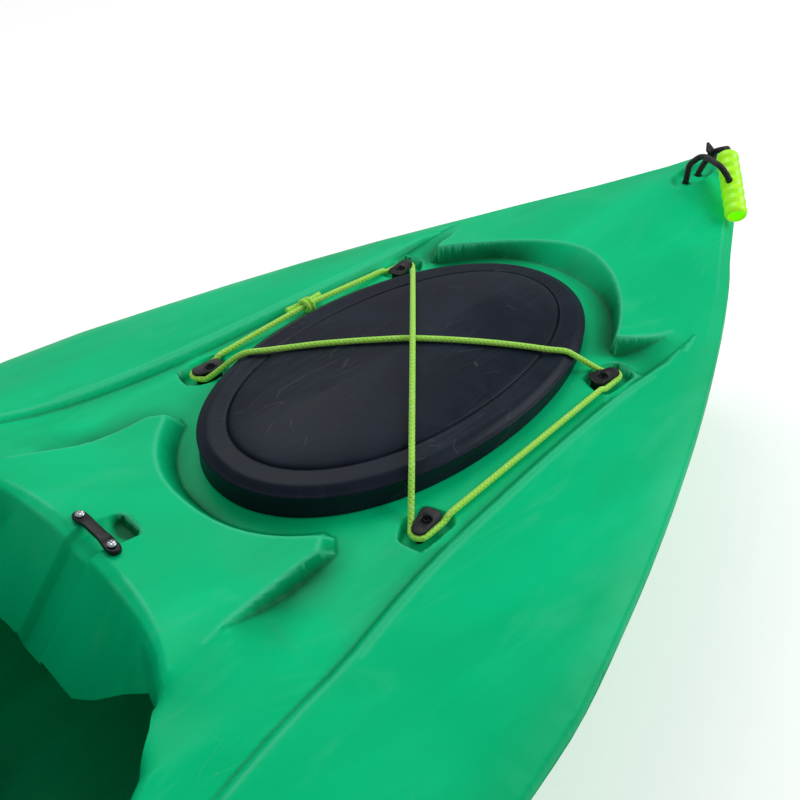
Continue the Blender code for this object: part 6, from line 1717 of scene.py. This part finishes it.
PAD_VOXEL = 0.0045
PAD_GIVE = 0.0035
CLOTH_FRAMES = 20
SEAM_DEEP = 0.0085
HELD_BELOW = 0.0075
PIPING = 0.0022


def blow_up(piece: Piece, hold: Callable[[Vector], float]) -> None:
    """Blows a closed form up against its sewn lines with the cloth solver.

    Args:
        piece: The closed form.
        hold: 1 where a point is held (underside, piping, channels), 0 where it is free.
    """
    scene = bpy.context.scene
    before = [v.co.copy() for v in piece.data.vertices]
    group = piece.vertex_groups.new(name="held")
    for vertex in piece.data.vertices:
        group.add([vertex.index], hold(vertex.co), "REPLACE")
    cloth = piece.modifiers.new("cloth", "CLOTH")
    cloth.settings.quality = 6
    cloth.settings.use_pressure = True
    cloth.settings.uniform_pressure_force = 4.0
    cloth.settings.tension_stiffness = 12.0
    cloth.settings.bending_stiffness = 0.6
    cloth.settings.vertex_group_mass = group.name
    cloth.settings.effector_weights.gravity = 0.0
    cloth.point_cache.frame_end = CLOTH_FRAMES
    for moment in range(1, CLOTH_FRAMES + 1):
        scene.frame_set(moment)
    seen = piece.evaluated_get(bpy.context.evaluated_depsgraph_get())
    after = [v.co.copy() for v in seen.data.vertices]
    piece.modifiers.remove(cloth)
    piece.vertex_groups.clear()
    scene.frame_set(1)
    for vertex, old, new in zip(piece.data.vertices, before, after):
        move = new - old
        if move.length > PAD_GIVE:
            move *= PAD_GIVE / move.length
        vertex.co = old + move


def sewn(pad: Piece, axis: int, under: Callable[[Vector], float], seam: Callable[[Vector], float]) -> None:
    """Presses a cushion's form in along its seams, blows it up and marks the seams for its cloth.

    Args:
        pad: The closed form; it ends with an even, once subdivided net and the attribute seam.
        axis: Number of the axis along which it is thick.
        under: Place on that axis of what it lies on, at a point.
        seam: 1 on a sewn line, 0 away from it.
    """
    def hold(p: Vector) -> float:
        return 1.0 if p[axis] - under(p) < HELD_BELOW else min(1.0, 1.2 * seam(p))

    Bench.remesh(pad, 0.005)
    for vertex in pad.data.vertices:
        vertex.co[axis] -= SEAM_DEEP * seam(vertex.co)
    Bench.remesh(pad, PAD_VOXEL)
    blow_up(pad, hold)
    Bench.modify(pad, "SUBSURF", levels=1, render_levels=1)
    Bench.smooth(pad, 180.0)
    for vertex in pad.data.vertices:
        vertex.co[axis] = max(vertex.co[axis], under(vertex.co) + 0.0006)
    values = [seam(v.co) for v in pad.data.vertices]
    pad.data.attributes.new("seam", "FLOAT", "POINT").data.foreach_set("value", values)


def square_rim(up: int, across: int) -> list[Spot]:
    """Positions round the square from -1 to 1, with a count of steps for each pair of sides."""
    return ([(1.0, -1 + 2 * k / up) for k in range(up)] + [(1 - 2 * k / across, 1.0) for k in range(across)]
            + [(-1.0, 1 - 2 * k / up) for k in range(up)] + [(-1 + 2 * k / across, -1.0) for k in range(across)])


def piped(name: str, line: Sequence[Point], body: str) -> None:
    """The piping round a cushion, along a closed line."""
    piping = swept(name, curve_points(line, 0.004, True), PIPING, 10, closed=True)
    settle(piping, Slot.CUSHION, body)


def rounded(u: float, v: float, share: float = 0.34) -> tuple[float, float]:
    """Square position drawn in at its corners."""
    return u * math.sqrt(1 - share * v * v / 2), v * math.sqrt(1 - share * u * u / 2)


@dataclass
class Seat:
    """Moulded pan with raised sides, standing on the hull, and the padded cushion on it."""

    rear: float = -0.355
    length: float = 0.40
    half: float = 0.175
    height: float = 0.070
    bolster: float = 0.028
    base: float = 0.0120
    wall: float = 0.0035
    start: float = 0.10
    span: float = 0.84
    pad: float = 0.0225
    channels: tuple[float, float] = (0.36, 0.66)
    sewn_out: float = 0.56
    sections: dict = field(default_factory=dict)

    def section(self, x: float) -> list[Spot]:
        """Half section (out, height) from the middle outward and down to the foot, kept by the millimetre."""
        x = round(x, 3)
        if x in self.sections:
            return self.sections[x]
        t = (x - self.rear) / self.length
        dish = self.height - 0.016 * math.sin(math.pi * min(1.0, t * 0.9)) + 0.020 * ramp(t, 0.72, 1.0)
        side = self.height + self.bolster * (1 - 0.5 * ramp(t, 0.5, 1.0))
        w = self.half
        points = [(0.0, dish), (0.30 * w, dish), (0.60 * w, dish + 0.003), (0.78 * w, dish + 0.012),
                  (0.88 * w, side - 0.004), (0.94 * w, side), (0.985 * w, side - 0.004), (w, side - 0.016),
                  (0.96 * w, 0.040), (0.88 * w, 0.024), (0.82 * w, self.base)]
        self.sections[x] = curved(points, 4)
        return self.sections[x]

    def top(self, x: float, y: float) -> float:
        """Height of the pan's top at a point."""
        line = self.section(x)
        for (ya, za), (yb, zb) in zip(line, line[1:]):
            if ya <= abs(y) <= yb:
                return za + (zb - za) * (abs(y) - ya) / max(yb - ya, 1e-9)
        return line[-1][1]

    def make_pan(self) -> None:
        """The pan, its rear and front edges turned down, with drain and lacing holes."""
        def row(x: float, shift: float = 0.0, squash: float = 1.0) -> list[Point]:
            half = self.section(x)
            line = [(-y, z) for y, z in reversed(half)] + [(y, z) for y, z in half[1:]]
            return [(x + shift, y, self.base + (z - self.base) * squash) for y, z in line]

        first, last = self.rear + 0.02 * self.length, self.rear + 0.97 * self.length
        rows = [row(first, s, q) for s, q in ((-0.0120, 0.80), (-0.0120, 0.88), (-0.0105, 0.93), (-0.0075, 0.968),
                                              (-0.0040, 0.99))]
        count = 44
        rows += [row(first + (last - first) * k / count) for k in range(count + 1)]
        rows += [row(last, s, q) for s, q in ((0.0035, 0.992), (0.0070, 0.965), (0.0098, 0.915), (0.0115, 0.84),
                                              (0.0120, 0.72))]
        pan = moulded_sheet("seat_pan_shell", rows, self.wall, (-0.155, 0.0, 0.02), 50.0)
        for x, y in ((-0.318, 0.0), (-0.318, 0.05), (-0.318, -0.05)):
            Bench.cut(pan, Bench.rod(0.005, 0.06, Matrix.Translation((x, y, 0.068)), 28))
        Bench.smooth(pan, 40.0)
        settle(pan, Slot.PLASTIC, "boat", ["seat_pan"])

    def place(self, u: float, v: float) -> tuple[float, float]:
        """Plan position of a cushion point."""
        along, out = rounded(u, v)
        return self.rear + self.length * (self.start + self.span * (along + 1) / 2), out * 0.735 * self.half

    def own(self, p: Vector) -> tuple[float, float]:
        """Position of a cushion point along (0 to 1) and out (0 to 1)."""
        return ((p.x - self.rear) / self.length - self.start) / self.span, abs(p.y) / (0.74 * self.half)

    def seam(self, p: Vector) -> float:
        """1 on a sewn line, 0 away from it."""
        t, out = self.own(p)
        lines = [math.exp(-(((out - self.sewn_out) * 0.1295) / 0.0042) ** 2)]
        if out < self.sewn_out:
            lines += [math.exp(-(((t - c) * self.length * self.span) / 0.0042) ** 2) for c in self.channels]
        return max(lines) if p.z > self.top(p.x, p.y) + 0.004 else 0.0

    def make_cushion(self) -> None:
        """The cushion: a rounded form, pressed in along its seams, then blown up as cloth."""
        steps = [-1 + 2 * k / 30 for k in range(31)]
        rings = []
        for u in steps:
            upper, lower = [], []
            for v in steps:
                x, y = self.place(u, v)
                low = self.top(x, y) + 0.0009
                swell = math.sqrt(max(0.0, 1 - abs(u) ** 7)) * math.sqrt(max(0.0, 1 - abs(v) ** 6))
                upper.append((x, y, low + 0.0045 + self.pad * swell))
                lower.append((x, y, low))
            rings.append(upper + list(reversed(lower)))
        pad = ring_loft("seat_cushion_pad", rings)

        sewn(pad, 2, lambda p: self.top(p.x, p.y), self.seam)
        settle(pad, Slot.CUSHION, "boat", ["seat_cushion"])
        line = []
        for u, v in square_rim(20, 30):
            x, y = self.place(u, v)
            line.append((x, y, self.top(x, y) + 0.0040))
        piped("seat_cushion_piping", line, "boat")

    def build(self) -> None:
        """Makes the pan and the cushion."""
        self.make_pan()
        self.make_cushion()


@dataclass
class Backrest:
    """Curved panel on two hinge pins, its padded cushion, arms, brackets and pins."""

    half: float = 0.1552
    high: float = 0.205
    foot: float = 0.014
    wall: float = 0.004
    pad: float = 0.0225
    low: float = 0.020
    top: float = 0.190
    channels: tuple[float, float] = (0.072, 0.132)
    sewn_out: float = 0.38
    frame = frame_of((0.9903, 0.0, -0.1392, -0.327), (0.0, 1.0, 0.0, 0.0), (0.1392, 0.0, 0.9903, 0.135))

    def breadth(self, z: float) -> float:
        """Half breadth of the panel at a height."""
        return self.half * (1 - 0.22 * ramp(z, 0.11, self.high) ** 2)

    def depth(self, u: float, z: float) -> float:
        """Position of the panel's middle surface to the front."""
        return -0.006 + 0.030 * u * u * (0.5 + 0.5 * ramp(z, 0.0, 0.12)) - 0.010 * ramp(z, 0.12, self.high)

    def make_panel(self) -> None:
        """The panel with rounded upper corners and a row of slots."""
        rows = []
        corner = 0.034
        heights = [0.0, 0.002, 0.006] + [0.012 + 0.006 * k for k in range(27)]
        heights += [self.high - corner * (1 - math.sin(math.pi / 2 * k / 12)) for k in range(13)]
        for z in sorted({round(h, 5) for h in heights}):
            above = max(0.0, z - (self.high - corner))
            tuck = corner - math.sqrt(max(0.0, corner * corner - above * above))
            below = max(0.0, 0.004 - z)
            half = self.breadth(z) - tuck - below * 0.6
            rows.append([(self.depth(half * (-1 + k / 24) / self.breadth(z), z) + self.wall / 2,
                          half * (-1 + k / 24), self.foot + z) for k in range(49)])
        panel = moulded_sheet("backrest_panel_shell", rows, self.wall, (-1.0, 0.0, 0.1), 50.0)
        for z in (0.050, 0.078, 0.106):
            for y in (-0.045, 0.045):
                slot = Bench.outline("slot", [(y + 0.026 * (1 if math.cos(a) > 0 else -1) + 0.005 * math.cos(a),
                                               0.005 * math.sin(a))
                                              for a in (math.pi * (2 * k + 1) / 32 for k in range(32))])
                Bench.rise(0.12)
                turn = frame_of((0.0, 0.0, 1.0, -0.06), (1.0, 0.0, 0.0, 0.0), (0.0, 1.0, 0.0, self.foot + z))
                Bench.cut(panel, Bench.close(slot, turn))
        Bench.modify(panel, "BEVEL", width=0.0008, segments=2, limit_method="ANGLE", angle_limit=math.radians(50))
        panel.data.transform(self.frame)
        Bench.smooth(panel, 40.0)
        settle(panel, Slot.PLASTIC, "backrest", ["backrest_panel"])

    def place(self, u: float, v: float) -> tuple[float, float, float]:
        """Height, out and rest of a cushion point, in the backrest's own frame."""
        up, out = rounded(u, v)
        z = self.low + (self.top - self.low) * (up + 1) / 2
        side = out * 0.925
        return z, side * self.breadth(z), self.depth(side, z) + self.wall / 2 + 0.0016

    def rest(self, p: Vector) -> float:
        """Front of the panel under a point in the backrest's own frame."""
        z = p.z - self.foot
        return self.depth(p.y / self.breadth(z), z) + self.wall / 2

    def seam(self, p: Vector) -> float:
        """1 on a sewn line, 0 away from it."""
        z = p.z - self.foot
        out = abs(p.y) / (0.93 * self.breadth(z))
        lines = [math.exp(-((z - c) / 0.0040) ** 2) for c in self.channels]
        lines.append(math.exp(-(((out - self.sewn_out) * 0.144) / 0.0042) ** 2))
        return max(lines) if p.x > self.rest(p) + 0.005 else 0.0

    def make_cushion(self) -> None:
        """The cushion, made in the backrest's own frame and then put in its place."""
        steps = [-1 + 2 * k / 30 for k in range(31)]
        rings = []
        for u in steps:
            face, back = [], []
            for v in steps:
                z, y, rest = self.place(u, v)
                swell = math.sqrt(max(0.0, 1 - abs(u) ** 6)) * math.sqrt(max(0.0, 1 - abs(v) ** 6))
                face.append((rest + 0.0045 + self.pad * swell, y, self.foot + z))
                back.append((rest, y, self.foot + z))
            rings.append(face + list(reversed(back)))
        pad = ring_loft("backrest_cushion_pad", rings)
        sewn(pad, 0, self.rest, self.seam)
        pad.data.transform(self.frame)
        settle(pad, Slot.CUSHION, "backrest", ["backrest_cushion"])
        line = []
        for u, v in square_rim(24, 16):
            z, y, rest = self.place(u, v)
            line.append(self.frame @ Vector((rest + 0.0030, y, self.foot + z)))
        piped("backrest_cushion_piping", line, "backrest")

    def make_hinges(self) -> None:
        """Rounded brackets and arms with their pins."""
        for side, flank in FLANKS:
            bracket = refined(f"seat_bracket_{flank}", f"seat_bracket_{flank}_ear", 0.0009)
            settle(bracket, Slot.PLASTIC, "boat", [f"seat_bracket_{flank}"])
            arm = refined(f"backrest_arm_{flank}", f"backrest_arm_{flank}_ear", 0.0009)
            settle(arm, Slot.PLASTIC, "backrest", [f"backrest_arm_{flank}"])
            r, reach, head = 0.004, 0.0112, 0.0025
            place = frame_of((1.0, 0.0, 0.0, -0.327), (0.0, 0.0, float(side), side * 0.1673),
                             (0.0, -float(side), 0.0, 0.135))
            pin = Bench.turned(f"hinge_pin_{flank}_turned",
                               ((r - 0.0006, -reach), (r, -reach + 0.0006), (r, 0.0), (r * 1.72, 0.0),
                                (r * 1.75, 0.0003), (r * 1.75, head * 0.45), (r * 1.55, head * 0.78),
                                (r * 1.1, head * 0.95), (r * 0.4, head)), 40, place)
            settle(pin, Slot.STEEL, "boat", [f"hinge_pin_{flank}"])

    def build(self) -> None:
        """Makes the panel, the cushion and the hinges."""
        self.make_panel()
        self.make_cushion()
        self.make_hinges()


@dataclass
class Footrests:
    """Two channels on the hull's inside, each with a ribbed pedal in it."""

    length: float = 0.4297
    deep: float = 0.014
    reach: float = 0.062
    half: float = 0.0475

    def place(self, side: int) -> Matrix:
        """Frame of a rail: X along it to the bow, Y inboard."""
        return frame_of((0.9775, -0.2107, 0.0, 0.44), (-0.2107 * side, -0.9775 * side, 0.0, 0.3007 * side),
                        (0.0, 0.0, -float(side), 0.125))

    def build(self) -> None:
        """Rounds the rails and cuts the grip grooves into the pedals."""
        for side, flank in FLANKS:
            rail = refined(f"foot_rail_{flank}", f"foot_rail_{flank}_channel", 0.0006, 2)
            settle(rail, Slot.PLASTIC, "boat", [f"foot_rail_{flank}"])
            pedal = refined(f"foot_pedal_{flank}", f"foot_pedal_{flank}_blade", 0.0016)
            rest = self.place(side) @ Matrix.Translation((0.36 * self.length, 0, 0))
            for k in range(7):
                y = self.deep + 0.018 + 0.0065 * k
                face = 0.006 * ((y - self.deep) / self.reach) ** 2
                groove = Bench.rod(0.0016, 2 * self.half * 0.80, rest @ Matrix.Translation((face, y, 0)), 20)
                Bench.cut(pedal, groove)
            Bench.smooth(pedal, 35.0)
            settle(pedal, Slot.PLASTIC, f"footrest_{flank}", [f"foot_pedal_{flank}"])


@dataclass
class HatchSeat:
    """Ring under the lid: the coaming on the deck and the gasket in the lid."""

    def build(self) -> None:
        """Makes both rings on the lid's outline."""
        def floor(x: float) -> float:
            return hatch_floor(x) + 0.0009

        def foot(x: float) -> float:
            return hatch_floor(x) - 0.022

        cover = HatchCover()
        coaming = ((0.0062, floor), (0.0062, -0.0082), (0.0066, -0.0077), (0.0072, -0.0075), (0.0152, -0.0075),
                   (0.0160, -0.0077), (0.0180, -0.0091), (0.0294, -0.0091), (0.0300, -0.0093), (0.0303, -0.0099),
                   (0.0303, foot), (0.0266, foot), (0.0266, floor))
        gasket = ((0.0078, -0.0072), (0.0074, -0.0068), (0.0074, -0.0038), (0.0134, -0.0038), (0.0134, -0.0068),
                  (0.0130, -0.0072))
        for name, profile, slot, body in (("hatch_coaming", coaming, Slot.NYLON, "boat"),
                                          ("hatch_gasket", gasket, Slot.RUBBER, "hatch_cover")):
            rings = [cover.ring(inset, height) for inset, height in profile]
            settle(ring_loft(f"{name}_ring", rings, True, 50.0), slot, body, [name])


@dataclass
class Flotation:
    """The foam bulkhead and the foam pillar, with their edges rounded."""

    def build(self) -> None:
        """Makes both blocks."""
        for node, name in (("stern_bulkhead", "stern_bulkhead_foam"), ("bow_foam_pillar", "bow_pillar_foam")):
            settle(refined(node, name, 0.0025, 3, 25.0), Slot.FOAM, "boat", [node])


def finish_solids() -> None:
    """Gives each CAD node that is still shown the finish of its slot."""
    for part in frame["record"]["subparts"]:
        node = frame["nodes"].get(part["node"])
        if node is None:
            continue
        for n in range(len(node.material_slots)):
            node.material_slots[n].material = made(Slot(part["material_slot"]))


def main() -> None:
    """Builds the stage and each sub-assembly in order."""
    logging.basicConfig(level=logging.INFO, format="%(name)s: %(message)s")
    Studio().build()
    finish_solids()
    HullSkin().build()
    DeckSkin().build()
    HatchCover().build()
    DeckCords().build()
    PadEyes().build()
    StrapBar().build()
    Screws().build()
    for handle in handles():
        handle.build()
    Drain().build()
    HatchSeat().build()
    Seat().build()
    Backrest().build()
    Footrests().build()
    Flotation().build()


if __name__ == "__main__":
    main()
